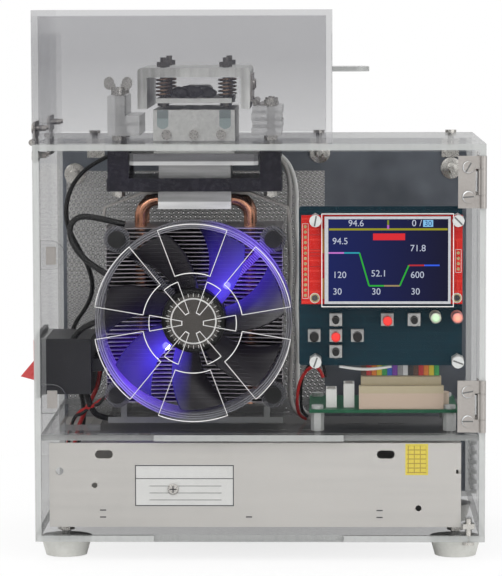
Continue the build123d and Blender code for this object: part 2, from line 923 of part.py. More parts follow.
def cover_box():
    outer = block(-wall_x, cover_right, front_y, back_y, cover_z, cover_z + cover_height)
    roof = cover_z + cover_height - sheet
    inner = block(-inner_x, cover_right - sheet, front_y + sheet, back_y - sheet, cover_z - 1, roof)
    shell = outer - inner
    for y, z in cover_bolt_places(1):
        shell -= shank(leaf_bore, (-wall_x - 1, y, z), (-inner_x + 1, y, z))
    keep("cover_box", shell)
    z = cover_z + cover_tab_height
    plane = Plane(origin=(cover_right + face_gap, 0, z - cover_tab_thick / 2))
    outline = fillet(Rectangle(2 * cover_tab_length, cover_tab_width).vertices(), cover_tab_width / 4)
    outline &= Pos(cover_tab_length / 2, 0) * Rectangle(cover_tab_length, cover_tab_width)
    keep("cover_tab", extrude(plane * outline, cover_tab_thick))


# Thermal stack

def sample_block():
    face = block_y - block_length / 2
    body = Pos(stack_x, block_y, block_z + block_height / 2) * Box(block_width, block_length, block_height)
    for x, y in well_places():
        body -= Pos(x, y, block_top - well_depth / 2) * Cone(well_tip_radius, well_radius, well_depth)
    for x, y in pressure_places():
        body -= rod(pocket_radius, (x, y, block_top - pocket_depth), (x, y, block_top + 1))
    for x in face_screw_x():
        z = block_z + face_screw_level
        body -= shank(leaf_bore, (x, face - 1, z), (x, face + face_screw_length + 1, z))
    keep("sample_block", body)


def well_places():
    places = []
    for i in range(well_columns):
        for j in range(well_rows):
            x = stack_x + (i - (well_columns - 1) / 2) * well_pitch
            y = block_y + (j - (well_rows - 1) / 2) * well_pitch
            places.append((x, y))
    return places


def pressure_places():
    return [(stack_x + x, block_y + y) for x in (-pocket_x, pocket_x) for y in (-pocket_y, pocket_y)]


def face_screw_x():
    return [stack_x + step * face_screw_pitch for step in (-1, 0, 1)]


def peltier_modules():
    solids = []
    for y in (block_y - block_length / 4, block_y + block_length / 4):
        body = module_layer(y, peltier_size, spreader_top + face_gap, spreader_top + peltier_plate)
        body += module_layer(y, peltier_size, block_z - peltier_plate, block_z - face_gap)
        body += module_layer(y, peltier_size - 2, spreader_top + face_gap, block_z - face_gap)
        solids.append(body)
    keep("peltier_modules", *solids)


def module_layer(y, size, low, high):
    return Pos(stack_x, y, (low + high) / 2) * Box(size, size, high - low)


def spreader_plate():
    plate = Pos(stack_x, block_y, (neck_top + spreader_top) / 2) * Box(spreader_width, spreader_length, spreader_thick)
    keep("spreader_plate", chamfer(plate.edges().filter_by(Axis.Z), 2.0))


def cooler_base():
    """Contact block, with the grooved base that grips the heat pipes below it."""
    low = base_top - 0.5
    high = neck_top - face_gap
    body = Pos(stack_x, cooler_y, (low + high) / 2) * Box(neck_width, neck_length, high - low)
    body += Pos(stack_x, cooler_y, (cooler_base_z + base_top) / 2) * Box(base_width, base_length, base_height)
    for y in pipe_places():
        z = pipe_level()
        body -= rod(pipe_radius + pipe_seat, (stack_x - base_width, y, z), (stack_x + base_width, y, z))
    keep("cooler_base", body)


def pipe_level():
    return cooler_base_z + base_height / 2


def pipe_places():
    return (cooler_y - pipe_pitch / 2, cooler_y + pipe_pitch / 2)


def heat_pipes():
    solids = []
    for y in pipe_places():
        z = pipe_level()
        x0 = stack_x - pipe_spread
        x1 = stack_x + pipe_spread
        end = fin_bottom - pipe_end
        path = FilletPolyline((x0, y, end), (x0, y, z), (x1, y, z), (x1, y, end), radius=pipe_bend)
        plane = Plane(origin=(x0, y, end), z_dir=(0, 0, 1))
        solids.append(sweep(plane * Circle(pipe_radius), path=path))
    keep("heat_pipes", *solids)


def fin_stack():
    """Thin fins with notched front and rear edges; six-sided collars pass the pipes."""
    solids = []
    pitch = (fin_top - fin_bottom) / (fin_count - 1)
    half_y = fin_depth / 2
    outline = Rectangle(fin_width, fin_depth)
    for sign in (-1, 1):
        outline -= Pos(0, sign * half_y) * Rectangle(notch_width, notch_depth)
        for y in (-pipe_pitch / 2, pipe_pitch / 2):
            outline -= Pos(sign * pipe_spread, y) * RegularPolygon(pipe_radius + pipe_fit, 6, major_radius=False)
    for k in range(fin_count):
        z = fin_bottom + k * pitch
        fin = extrude(Pos(stack_x, cooler_y, z) * outline, fin_thick)
        solids.append(fin)
    keep("fin_stack", *solids)


def cooler_bracket():
    """Black moulded bracket: a bar on each side of the contact block, with a leg at each end."""
    low = base_top + play
    high = bracket_top - play
    frame = Pos(stack_x, cooler_y, (low + high) / 2) * Box(bracket_width, bracket_length, high - low)
    frame -= Pos(stack_x, cooler_y, base_top) * Box(neck_width + 2 * play, neck_length + 2 * play, 4 * bracket_height)
    leg_top = roof_z - face_gap
    for x, y in bracket_bolts():
        frame += Pos(x, y, (low + leg_top) / 2) * Box(leg_width, leg_length, leg_top - low)
    for x, y in bracket_bolts():
        frame -= shank(stud_radius + stud_play, (x, y, base_top - 1), (x, y, roof_z + 1))
    keep("cooler_bracket", frame)


def bracket_bolts():
    """Places of the four studs that run from the clamp posts down through the roof to the bracket."""
    reach = bracket_width / 2 - leg_inset
    return [(stack_x + x, cooler_y + y) for x in (-reach, reach) for y in (-bolt_pitch / 2, bolt_pitch / 2)]


def cooler_screws():
    """Block face screws, and the studs that hold bracket, roof and clamp posts together."""
    solids = []
    y_face = block_y - block_length / 2
    for x in face_screw_x():
        place = (x, y_face - face_gap, block_z + face_screw_level)
        solids.append(screw(face_screw_head, face_screw_head_height, leaf_bore - stud_play, face_screw_length,
                            place, (0, -1, 0)))
    for x, y in bracket_bolts():
        low = base_top + play - face_gap - post_nut
        top = post_top(x)
        levels = [low, roof_top + face_gap]
        if (x, y) != catch_place():
            levels.append(top + face_gap)
        stud = rod(stud_radius, (x, y, low - stud_end), (x, y, top + post_nut + stud_end))
        for z in levels:
            stud += extrude(Pos(x, y, z) * RegularPolygon(stud_nut / 2, 6, major_radius=False), post_nut)
        solids.append(stud)
    keep("cooler_screws", *solids)


def catch_place():
    """Stud that carries the thumb nut: front left."""
    return bracket_bolts()[0]


def post_top(x):
    """Level of the post's upper face at a stud."""
    if x < stack_x:
        return clamp_z + left_post_rise
    return clamp_axis()[1] - hinge_barrel + leaf_thick


def clip_arms():
    """Spring clip across the cooler base, its ends bent down past the bracket."""
    z = base_top - clip_sheet
    solids = []
    for sign in (-1, 1):
        x0 = sign * (base_width / 2 + face_gap)
        x1 = sign * (base_width / 2 + clip_arm_flat)
        x2 = sign * (bracket_width / 2 + clip_arm_reach)
        x3 = sign * (bracket_width / 2 + 1.5 * clip_arm_reach)
        thick = sign * clip_sheet
        bend = z - clip_arm_drop / 2
        end = z - clip_arm_drop
        outline = make_face(Polyline((x0, z), (x1, z), (x2, bend), (x3, end), (x3 - thick, end), (x2 - thick, bend - play),
                                     (x1, z - clip_sheet), (x0, z - clip_sheet), close=True))
        plane = Plane(origin=(stack_x, cooler_y + clip_arm_width / 2, 0), x_dir=(1, 0, 0), z_dir=(0, -1, 0))
        solids.append(extrude(plane * outline, clip_arm_width))
    keep("clip_arms", *solids)


def cooler_support():
    """Clear trough that carries the fins on the shelf."""
    half = trough_length / 2
    low = shelf_top + face_gap
    solids = [block(stack_x - fin_width / 2, stack_x + fin_width / 2, cooler_y - half, cooler_y + half, low, low + sheet)]
    for sign in (-1, 1):
        x = stack_x + sign * (fin_width / 2 - trough_inset)
        solids.append(block(x - sheet / 2, x + sheet / 2, cooler_y - half, cooler_y + half,
                            low + sheet + face_gap, fin_bottom - face_gap))
    keep("cooler_support", *solids)


# Fan

def fan_frame():
    y1 = fan_y + fan_depth
    ring_plane = Plane(origin=(vent_x, y1, vent_z), x_dir=(1, 0, 0), z_dir=(0, -1, 0))
    ring = extrude(ring_plane * (Circle(fan_radius) - Circle(fan_radius - fan_wall)), fan_depth)
    ring -= extrude(ring_plane.offset(5.0) * (Circle(fan_radius + 1) - Circle(fan_radius - 1.0)), fan_depth - 9.0)
    ears = Part()
    for x, z in fan_corners():
        ear_plane = Plane(origin=(x, y1, z), x_dir=(1, 0, 0), z_dir=(0, -1, 0))
        ears += extrude(ear_plane * (Circle(post_radius + ear_rim) - Circle(post_neck + play / 6)), ear_thick)
    hub = extrude(ring_plane * Circle(hub_radius - 1.0), strut_thick)
    struts = Part()
    span = fan_radius - fan_wall / 2 - (hub_radius - 2.0)
    middle = hub_radius - 2.0 + span / 2
    for k in range(4):
        spoke = Rot(0, 0, 45 + 90 * k) * Pos(middle, 0) * Rectangle(span, strut_width)
        neck = Rot(0, 0, 45 + 90 * k) * Pos(fan_radius + 0.3, 0) * Rectangle(3.0, 2 * strut_width)
        struts += extrude(ring_plane * spoke, strut_thick)
        struts += extrude(ring_plane * neck, ear_thick)
    frame = ring + hub + struts + ears
    bearing = rod(axle_radius, (vent_x, y1 - strut_thick / 2, vent_z), (vent_x, y1 - axle_length, vent_z))
    keep("fan_frame", frame + bearing)


def fan_corners():
    return [(vent_x + sx * post_offset, vent_z + sz * post_offset) for sx in (-1, 1) for sz in (-1, 1)]


def fan_posts():
    """Rubber posts that pass the frame's ears and grip the fin stack."""
    solids = []
    y0 = fan_y + fan_depth - ear_thick
    y1 = cooler_y - fin_depth / 2
    for x, z in fan_corners():
        body = rod(post_radius, (x, y0 - 3.0, z), (x, y0 - face_gap, z))
        body += rod(post_neck, (x, y0 - 0.5, z), (x, y0 + ear_thick + 0.5, z))
        body += rod(post_radius, (x, y0 + ear_thick + face_gap, z), (x, y1 - face_gap, z))
        solids.append(body)
    keep("fan_posts", *solids)


def fan_rotor():
    """Hub cup with curved blades that sweep back and twist, like a real axial rotor."""
    front = fan_y + cup_inset
    plane = Plane(origin=(vent_x, front + cup_depth, vent_z), x_dir=(1, 0, 0), z_dir=(0, -1, 0))
    cup = extrude(plane * Circle(hub_radius), cup_depth)
    cup = fillet(cup.edges().sort_by(Axis.Y)[0:1], 1.5)
    cup -= extrude(plane * (Circle(hub_radius - cup_wall) - Circle(2 * axle_radius)), cup_depth - 1.5 * cup_wall)
    cup -= extrude(plane * Circle(axle_radius + axle_fit), cup_depth - 6.0)
    swept = rod(blade_tip, (vent_x, front - 5, vent_z), (vent_x, front + 40, vent_z))
    rotor = cup
    for k in range(blade_count):
        turn = Rot(0, 360.0 / blade_count * k, 0)
        rotor += swept & (Pos(vent_x, front + cup_depth / 2, vent_z) * turn * fan_blade())
    keep("fan_rotor", rotor)


def fan_blade():
    """One blade: a loft from a steep root section to a flatter, swept tip section."""
    sections = []
    root = (hub_radius - cup_wall / 2, 42.0, 14.0, 0.0)
    middle = ((hub_radius + blade_tip) / 2, blade_pitch, 20.0, 9.0)
    tip = (blade_tip + 1.0, 24.0, 27.0, 22.0)
    for radius, pitch, chord, sweep_angle in (root, middle, tip):
        angle = math.radians(sweep_angle)
        origin = (radius * math.cos(angle), 0, radius * math.sin(angle))
        side = (-math.sin(angle), 0, math.cos(angle))
        out = (math.cos(angle), 0, math.sin(angle))
        turn = math.radians(pitch)
        along = (side[0] * math.cos(turn), math.sin(turn), side[2] * math.cos(turn))
        plane = Plane(origin=origin, x_dir=along, z_dir=out)
        sections.append(plane * Rectangle(chord, blade_thick))
    return loft(sections)


# Clamp

def channel_y():
    return block_y - channel_length / 2


def clamp_channel():
    y0 = channel_y()
    y1 = y0 + channel_length
    half = channel_width / 2
    body = block(stack_x - half, stack_x + half, y0, y1, clamp_z, clamp_top)
    body = fillet(body.edges().filter_by(Axis.Y).group_by(Axis.Z)[-1], 2.0)
    inner = half - channel_wall
    body -= block(stack_x - inner, stack_x + inner, y0 - 1, y1 + 1, clamp_z - 1, clamp_top - channel_wall)
    for x, y in pressure_places():
        body -= rod(pressure_radius + play, (x, y, clamp_top - channel_wall - 1), (x, y, clamp_top + 1))
    z = clamp_z + clamp_screw_rise
    for y in clamp_leaf_screws():
        body -= shank(leaf_bore, (stack_x + inner - 1, y, z), (stack_x + half + 1, y, z))
    keep("clamp_channel", body)


def clamp_axis():
    """Place of the clamp hinge's pin, beside the channel's right leg."""
    return stack_x + channel_width / 2 + leaf_thick + hinge_barrel, clamp_z + clamp_hinge_rise


def clamp_leaf_screws():
    return (block_y - clamp_screw_offset, block_y + clamp_screw_offset)


def clamp_hinge():
    """Hinge at the channel's right side: its leaf on the channel, the other on the right post."""
    x, z = clamp_axis()
    outer, middle = barrel_parts(clamp_leaf_length)
    half = clamp_leaf_length / 2
    moving = None
    fixed = None
    x0 = stack_x + channel_width / 2
    for low, high in outer:
        ring = rod(hinge_barrel, (x, block_y + low, z), (x, block_y + high, z))
        arm = block(x0 + face_gap, x, block_y + low, block_y + high, z + 0.4, z + 0.4 + leaf_thick)
        arm += block(x0 + face_gap, x0 + leaf_thick, block_y + low, block_y + high, z + 0.4, z + 3.0)
        moving = ring + arm if moving is None else moving + ring + arm
    moving += block(x0 + face_gap, x0 + leaf_thick, block_y - half, block_y + half, z + 2.6, z + 14.0)
    post_face = z - hinge_barrel
    for low, high in middle:
        ring = rod(hinge_barrel, (x, block_y + low, z), (x, block_y + high, z))
        arm = block(x, x + 3.0, block_y + low, block_y + high, post_face, post_face + leaf_thick)
        fixed = ring + arm if fixed is None else fixed + ring + arm
    fixed += block(x + 2.2, x + 11.0, block_y - half, block_y + half, post_face, post_face + leaf_thick)
    hole = rod(hinge_pin + hinge_fit, (x, block_y - half - 1, z), (x, block_y + half + 1, z))
    moving -= hole
    fixed -= hole
    solids = []
    level = clamp_z + clamp_screw_rise
    for y in clamp_leaf_screws():
        moving -= shank(leaf_bore, (x0 - 1, y, level), (x0 + 3, y, level))
        place = (x0 + leaf_thick + face_gap, y, level)
        solids.append(screw(leaf_head, leaf_head_height, leaf_bore - stud_play, channel_wall, place, (1, 0, 0)))
    for px, py in bracket_bolts()[2:]:
        fixed -= shank(stud_radius + stud_play, (px, py, post_face - 1), (px, py, post_face + 2))
    keep("clamp_leaf", moving, *solids)
    pin = rod(hinge_pin, (x, block_y - half, z), (x, block_y + half, z))
    return [fixed], [pin]


def pressure_screws():
    """Four screws that hang the heater plate from the channel; they rise with the plate."""
    solids = []
    for x, y in pressure_places():
        body = shank(pressure_radius, (x, y, heater_z - 2.2), (x, y, clamp_top + pressure_rise))
        body += shank(pan_head, (x, y, heater_z - pan_head_height), (x, y, heater_z - face_gap), head_sides)
        nut = RegularPolygon(stud_nut / 2, 6, major_radius=False)
        body += extrude(Pos(x, y, clamp_top + play) * nut, post_nut)
        solids.append(body)
    keep("pressure_screws", *solids)


def pressure_springs():
    """Coil springs over the screws, here as sleeves of the coils' inner and outer size."""
    solids = []
    low = heater_z + heater_thick + spring_gap
    high = clamp_top - channel_wall - spring_gap
    for x, y in pressure_places():
        ring = Circle(spring_radius + spring_wire / 2) - Circle(spring_radius - spring_wire / 2)
        solids.append(extrude(Pos(x, y, low) * ring, high - low))
    keep("pressure_springs", *solids)


def heater_plate():
    plate = Pos(stack_x, block_y, heater_z + heater_thick / 2) * Box(heater_width, heater_length, heater_thick)
    for x, y in pressure_places():
        plate -= shank(pressure_radius + face_gap, (x, y, heater_z - 1), (x, y, heater_z + heater_thick + 1))
    z = heater_z + heater_thick + face_gap + element_height / 2
    element = Pos(stack_x, block_y, z) * Box(element_width, element_length, element_height)
    element = chamfer(element.edges().filter_by(Axis.Y).group_by(Axis.Z)[-1], 1.5)
    keep("heater_plate", plate, element)


# Clamp posts

def left_post():
    """Stack of acrylic plates beside the clamp, with a narrow head under the thumb nut."""
    solids = []
    x1 = stack_x - channel_width / 2 - post_play
    x0 = x1 - left_post_width
    low = roof_top + post_nut + 2 * face_gap
    high = clamp_z + left_post_rise
    step = (high - low) / post_plates
    studs = bracket_bolts()[:2]
    for k in range(post_plates):
        z0 = low + k * step
        reach = x1 + 1.4 if z0 + step < clamp_z - post_play else studs[0][0] + 3.6
        slab = block(x0, reach, studs[0][1] - post_edge, studs[1][1] + post_edge, z0 + face_gap, z0 + step - face_gap)
        for x, y in studs:
            slab -= shank(stud_radius + stud_play, (x, y, z0 - 1), (x, y, z0 + step + 1))
        solids.append(slab)
    keep("left_post", *solids)


def right_post():
    """Stack of acrylic plates that carries the clamp hinge, each plate a little out of line."""
    solids = []
    studs = bracket_bolts()[2:]
    y0 = studs[0][1] - post_edge
    y1 = studs[1][1] + post_edge
    low = roof_top + post_nut + 2 * face_gap
    high = clamp_axis()[1] - hinge_barrel
    step = (high - low) / post_plates
    for k in range(post_plates):
        z0 = low + k * step
        x0 = right_post_x + post_stagger * (k % 2)
        slab = block(x0, x0 + right_post_width, y0, y1, z0 + face_gap, z0 + step - face_gap)
        for x, y in studs:
            slab -= shank(stud_radius + stud_play, (x, y, z0 - 1), (x, y, z0 + step + 1))
        solids.append(slab)
    keep("right_post", *solids)


def thumb_nut():
    """Wing nut on the front left stud, which locks the clamp down."""
    x, y = catch_place()
    seat = post_top(x) + play
    body = rod(thumb_boss, (x, y, seat), (x, y, seat + thumb_height))
    plane = Plane(origin=(x, y + wing_thick / 2, seat + thumb_height), x_dir=(1, 0, 0), z_dir=(0, -1, 0))
    for sign in (-1, 1):
        lobe = Pos(sign * 1.3 * thumb_boss, wing_rise / 2) * Ellipse(wing_width / 2, wing_rise / 2 + 1.4)
        root = Pos(sign * 0.8 * thumb_boss, 0) * Rectangle(thumb_boss, 3.0)
        body += extrude(plane * (lobe + root), wing_thick)
    body -= rod(stud_radius + thumb_fit, (x, y, seat - 1), (x, y, seat + 3 * thumb_height))
    keep("thumb_nut", body)


# Electronics

def controller_screws():
    columns = (controller_left + controller_screw, controller_left + controller_width - controller_screw)
    rows = (controller_y + controller_screw, controller_y + controller_length - controller_screw)
    return [(x, y) for y in rows for x in columns]


def controller():
    z0 = shelf_top + controller_level
    y0 = controller_y
    right = controller_left + controller_width
    board = block(controller_left, right, y0, y0 + controller_length, z0, z0 + board_thick)
    for x, y in controller_screws():
        board -= drill(x, y, z0, board_hole)
    keep("controller_board", board)
    posts = []
    for x, y in controller_screws():
        top = z0 + board_thick + face_gap
        post = screw(nylon_head, nylon_head_height, small_screw, top - shelf_z + 1.0, (x, y, top), (0, 0, 1))
        spacer = RegularPolygon(nylon_flat, 6, major_radius=False)
        post += extrude(Pos(x, y, shelf_top + face_gap) * spacer, controller_level - 2 * face_gap)
        posts.append(post)
    keep("board_standoffs", *posts)
    top = z0 + board_thick + face_gap
    solids = []
    x = header_left
    header = block(x, x + header_width, y0 + 1.5, y0 + 6.5, top, top + 0.73 * header_height)
    header += block(x + 1.0, x + header_width - 1.0, y0 + 6.4, y0 + 11.0, top, top + header_height)
    for k in range(15):
        x = header_left + header_width / 2 + (k - 7) * header_pitch
        header -= block(x - 0.7, x + 0.7, y0 + 7.6, y0 + 9.4, top + header_height - 3.4, top + header_height + 1)
    solids.append(header)
    for step, high in ((0, 11.6), (1, 9.0)):
        x = header_left - socket_gap - socket_width - step * socket_pitch
        socket = block(x, x + socket_width, y0 + 8.0, y0 + 20.0, top, top + high)
        socket -= block(x + 0.8, x + socket_width - 0.8, y0 + 9.0, y0 + 19.0, top + 2.0, top + high + 1)
        solids.append(socket)
    solids.append(rod(4.5, (right - 8.0, y0 + 22.0, top), (right - 8.0, y0 + 22.0, top + 6.0)))
    solids.append(block(header_left + 1.6, header_left + 8.6, y0 + 26.0, y0 + 50.0, top, top + 3.2))
    keep("board_parts", *solids)


def power_supply():
    """Folded aluminium case with louvred holes, open at the left end for its terminals."""
    x0 = supply_left
    x1 = supply_left + supply_width
    y0 = front_y + sheet + supply_front
    y1 = y0 + supply_length
    z0 = supply_z
    z1 = supply_z + supply_height
    t = supply_sheet
    case = block(x0, x1, y0, y1, z0, z1)
    case -= block(x0 + bay_length, x1 - t, y0 + t, y1 - t, z0 + t, z1 - t)
    case -= block(x0 - 1, x0 + bay_length + 1, y0 + t, y1 - t, z0 + t, z1 + 1)
    for x, z, r in supply_holes:
        case -= shank(r, (x0 + x, y0 - 1, z0 + z), (x0 + x, y0 + t + 1, z0 + z), head_sides)
    for x in supply_slots:
        plane = Plane(origin=(x0 + x, y0 - 1, z1 - supply_slot_drop), x_dir=(1, 0, 0), z_dir=(0, -1, 0))
        case -= extrude(plane * SlotOverall(supply_slot_length, supply_slot_height), -(t + 3))
    case -= block(x1 - 2 * t, x1 + 1, y0 - 1, y0 + t + 1, z1 - 15.0, z1 - 13.0)
    for i in range(6):
        for j in range(3):
            x = x0 + 67.0 + i * louvre_pitch_x
            y = y0 + 25.5 + j * louvre_pitch_y
            case -= Pos(x, y, z1) * Box(louvre_length, louvre_width, 4 * t)
    y0 += strip_inset
    strip = block(x0 + 1.0, x0 + 11.0, y0, y0 + strip_length, z0 + t + face_gap, z0 + t + strip_height)
    for k in range(8):
        y = y0 + 5.0 + k * strip_pitch
        strip -= block(x0, x0 + 9.0, y - strip_pitch / 3, y + strip_pitch / 3, z0 + t + 6.0, z0 + t + strip_height + 1)
    keep("power_supply", case, strip)


def mains_inlet():
    """Snap-in inlet with its switch frame; the socket is towards the rear."""
    half_y = inlet_length / 2
    half_z = inlet_height / 2
    x_out = -wall_x
    x_in = -inner_x + inlet_depth
    flange = block(x_out - inlet_flange, x_out - face_gap, inlet_y - half_y - inlet_rim, inlet_y + half_y + inlet_rim,
                   inlet_z - half_z - inlet_rim, inlet_z + half_z + inlet_rim)
    body = fillet(flange.edges().filter_by(Axis.X), 3.0)
    body += block(x_out - inlet_flange / 2, x_in, inlet_y - half_y, inlet_y + half_y, inlet_z - half_z, inlet_z + half_z)
    rocker_y = inlet_y - half_y + inlet_wall + rocker_width / 2
    half_gap = rocker_width / 2 + play
    rise = rocker_height / 2 + rocker_gap
    body -= block(x_out - inlet_flange - 1, x_out + inlet_depth / 2, rocker_y - half_gap, rocker_y + half_gap,
                  inlet_z - rise, inlet_z + rise)
    axis_x = x_out + rocker_pivot
    pin = half_gap + rocker_pin_reach
    body -= rod(rocker_pin + rocker_pin_fit, (axis_x, rocker_y - pin, inlet_z), (axis_x, rocker_y + pin, inlet_z))
    socket_y = inlet_y + half_y - inlet_wall - socket_length / 2
    face = Plane(origin=(x_out - inlet_flange, socket_y, inlet_z), x_dir=(0, 1, 0), z_dir=(-1, 0, 0))
    body -= extrude(face * Rectangle(socket_length, socket_height), -16.0)
    for dy, dz in ((-7.0, -2.0), (7.0, -2.0), (0.0, 2.2)):
        body += Pos(x_out + 8.8, socket_y + dy, inlet_z + dz) * Box(12.4, 2.0, 4.0)
    for k in range(5):
        y = inlet_y - half_y + 7.0 + k * 8.2
        body += Pos(x_in + 2.75, y, inlet_z) * Box(6.5, 0.8, 6.2)
    keep("mains_inlet", body)
    half = rocker_height / 2
    tip = axis_x - rocker_rise
    outline = make_face(Polyline((axis_x + 4.0, -half * 0.4), (axis_x - 1.0, -half + 0.8), (tip, -half),
                                 (tip + rocker_dip, 0), (tip, half), (axis_x - 1.0, half - 0.8),
                                 (axis_x + 4.0, half * 0.4), close=True))
    plane = Plane(origin=(0, rocker_y + rocker_width / 2, inlet_z), x_dir=(1, 0, 0), z_dir=(0, -1, 0))
    pin -= play / 2
    rocker = extrude(plane * outline, rocker_width)
    rocker += rod(rocker_pin, (axis_x, rocker_y - pin, inlet_z), (axis_x, rocker_y + pin, inlet_z))
    pivot = Axis((axis_x, rocker_y, inlet_z), (0, 1, 0))
    keep("rocker", rocker.rotate(pivot, rocker_tilt))


# Wiring, held all the way

def wire(points, radius, bend_share=0.45):
    """A cord along straight runs joined by tangent arcs; a six-sided section stands for its round one."""
    vectors = [Vector(*p) for p in points]
    radii = []
    for a, b, c in zip(vectors, vectors[1:], vectors[2:]):
        run = min((b - a).length, (c - b).length)
        turn = math.radians((b - a).get_angle(c - b))
        radii.append(bend_share * run / math.tan(turn / 2))
    path = FilletPolyline(*points, radius=radii)
    section = RegularPolygon(radius, 6)
    body = sweep(Plane(origin=path @ 0, z_dir=path % 0) * section, path=path)
    ratio = body.volume / (section.area * path.length)
    print("wire length", round(path.length, 1), "radii", [round(r, 1) for r in radii], "volume ratio", round(ratio, 4))
    return body


def wiring():
    """Supply wires from the inlet's tabs, and the leads of the two Peltier modules, down to the terminal strip."""
    solids = []
    supply_run = [(-80.6, -14.1, 87.2), (-81.6, -14.6, 77.6), (-86.6, -13.2, 69.0), (-91.6, -11.0, 58.5),
                  (-94.4, -9.8, 47.0), (-96.0, -9.4, 37.0), (-96.2, -9.0, 28.2)]
    module_run = [(-54.0, -6.0, 196.5), (-66.0, -5.6, 196.2), (-79.0, -6.0, 191.5), (-90.5, -8.0, 184.0),
                  (-97.0, -8.6, 173.0), (-98.0, -7.6, 160.0), (-93.4, -5.0, 148.5), (-87.0, -1.0, 137.0),
                  (-85.0, 4.0, 125.0), (-89.0, 11.4, 115.0), (-96.0, 18.4, 106.0), (-99.6, 21.0, 94.0),
                  (-97.6, 20.0, 82.0), (-92.6, 16.6, 71.0), (-90.8, 13.4, 60.0), (-92.4, 11.4, 49.0),
                  (-95.6, 10.8, 38.5), (-96.2, 10.4, 28.2)]
    for run, shift in ((supply_run, supply_pitch), (module_run, module_pitch)):
        for k in range(2):
            solids.append(wire([(x, y + k * shift, z) for x, y, z in run], wire_radius))
    keep("wiring", *solids)


def ribbon_cable():
    """Flat ribbon from the controller's header, up behind the display board to its socket, with slack for the door."""
    x = header_left + 1.0 + ribbon_width / 2
    foot = shelf_top + controller_level + board_thick + header_height + play
    rise = ribbon_top - foot
    y0 = controller_y + 8.5
    y1 = board_y + board_thick + 2.0
    path = FilletPolyline((x, y0, foot), (x, y0 + 1.0, foot + 0.375 * rise), (x, y1 + 1.6, foot + 0.75 * rise),
                          (x, y1, ribbon_top), radius=[0.5 * rise, 0.65 * rise])
    plane = Plane(origin=path @ 0, x_dir=(1, 0, 0), z_dir=path % 0)
    strip = sweep(plane * Rectangle(ribbon_width, ribbon_thick), path=path)
    half = ribbon_width / 2 + 1.0
    socket = block(x - half, x + half, board_y + board_thick + face_gap, y1 + 3.0,
                   ribbon_top + face_gap, ribbon_top + socket_rise)
    keep("ribbon_cable", strip, socket)


def main():
    extra = feet()
    bottom_plate()
    side_wall("left_wall", -1)
    side_wall("right_wall", 1)
    top_plate()
    shelf()
    lower_front_panel()
    rear_panel()
    case_fixings(extra)
    fixed, pins = door_hinges_all()
    more_fixed, more_pins = cover_hinges_all()
    clamp_fixed, clamp_pins = clamp_hinge()
    keep("fixed_hinge_leaves", *(fixed + more_fixed + clamp_fixed))
    keep("hinge_pins", *(pins + more_pins + clamp_pins))
    door_panel()
    display_board()
    display_fixings()
    switch_parts(screen_parts())
    magnet_catches()
    cover_box()
    sample_block()
    peltier_modules()
    spreader_plate()
    cooler_base()
    heat_pipes()
    fin_stack()
    cooler_bracket()
    cooler_screws()
    clip_arms()
    cooler_support()
    fan_frame()
    fan_posts()
    fan_rotor()
    clamp_channel()
    pressure_screws()
    pressure_springs()
    heater_plate()
    left_post()
    right_post()
    thumb_nut()
    controller()
    power_supply()
    mains_inlet()
    wiring()
    ribbon_cable()
    export_parts()


def export_parts():
    """Moves the origin to the middle of the whole object's footprint and writes each node's file."""
    os.makedirs("parts", exist_ok=True)
    boxes = [solid.bounding_box() for solids in parts.values() for solid in solids]
    middle_x = (min(b.min.X for b in boxes) + max(b.max.X for b in boxes)) / 2
    middle_y = (min(b.min.Y for b in boxes) + max(b.max.Y for b in boxes)) / 2
    print("origin at", round(middle_x, 4), round(middle_y, 4), "in the case frame")
    shift = Pos(-middle_x, -middle_y, 0)
    for name, solids in parts.items():
        placed = [shift * solid for solid in solids]
        shape = placed[0] if len(placed) == 1 else Compound(children=placed)
        export_step(shape, f"parts/{name}.step")
    print(len(parts), "nodes")


main()
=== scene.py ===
import math
import bpy
from mathutils import Matrix, Vector


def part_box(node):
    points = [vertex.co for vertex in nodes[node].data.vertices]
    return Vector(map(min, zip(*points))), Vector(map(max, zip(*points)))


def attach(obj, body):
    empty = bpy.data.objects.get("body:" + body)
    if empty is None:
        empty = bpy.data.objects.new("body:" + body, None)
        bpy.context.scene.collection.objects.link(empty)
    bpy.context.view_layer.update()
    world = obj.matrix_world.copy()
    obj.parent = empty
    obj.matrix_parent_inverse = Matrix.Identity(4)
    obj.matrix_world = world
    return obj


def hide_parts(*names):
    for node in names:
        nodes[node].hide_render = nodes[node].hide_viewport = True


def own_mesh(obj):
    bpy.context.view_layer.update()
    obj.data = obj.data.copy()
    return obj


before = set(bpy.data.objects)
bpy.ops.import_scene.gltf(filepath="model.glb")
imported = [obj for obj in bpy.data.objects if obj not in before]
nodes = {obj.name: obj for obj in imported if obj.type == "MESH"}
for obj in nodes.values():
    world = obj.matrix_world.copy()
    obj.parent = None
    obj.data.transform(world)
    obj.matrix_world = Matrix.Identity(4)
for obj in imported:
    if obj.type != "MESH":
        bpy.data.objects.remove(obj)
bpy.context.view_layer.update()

# The case frame has X and Y at the middle of the case, in millimetres; at() gives metres in the shared frame.
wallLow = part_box("left_wall")[0]
caseSize = {"width": 217.0, "depth": 140.0}
caseX = wallLow.x + caseSize["width"] / 2000
caseY = wallLow.y + caseSize["depth"] / 2000


def at(x, y, z):
    return Vector((caseX + x / 1000, caseY + y / 1000, z / 1000))


def mm(node):
    # a CAD node's corners in the case frame, in millimetres
    low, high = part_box(node)
    shift = Vector((caseX, caseY, 0))
    return (low - shift) * 1000, (high - shift) * 1000


# Materials

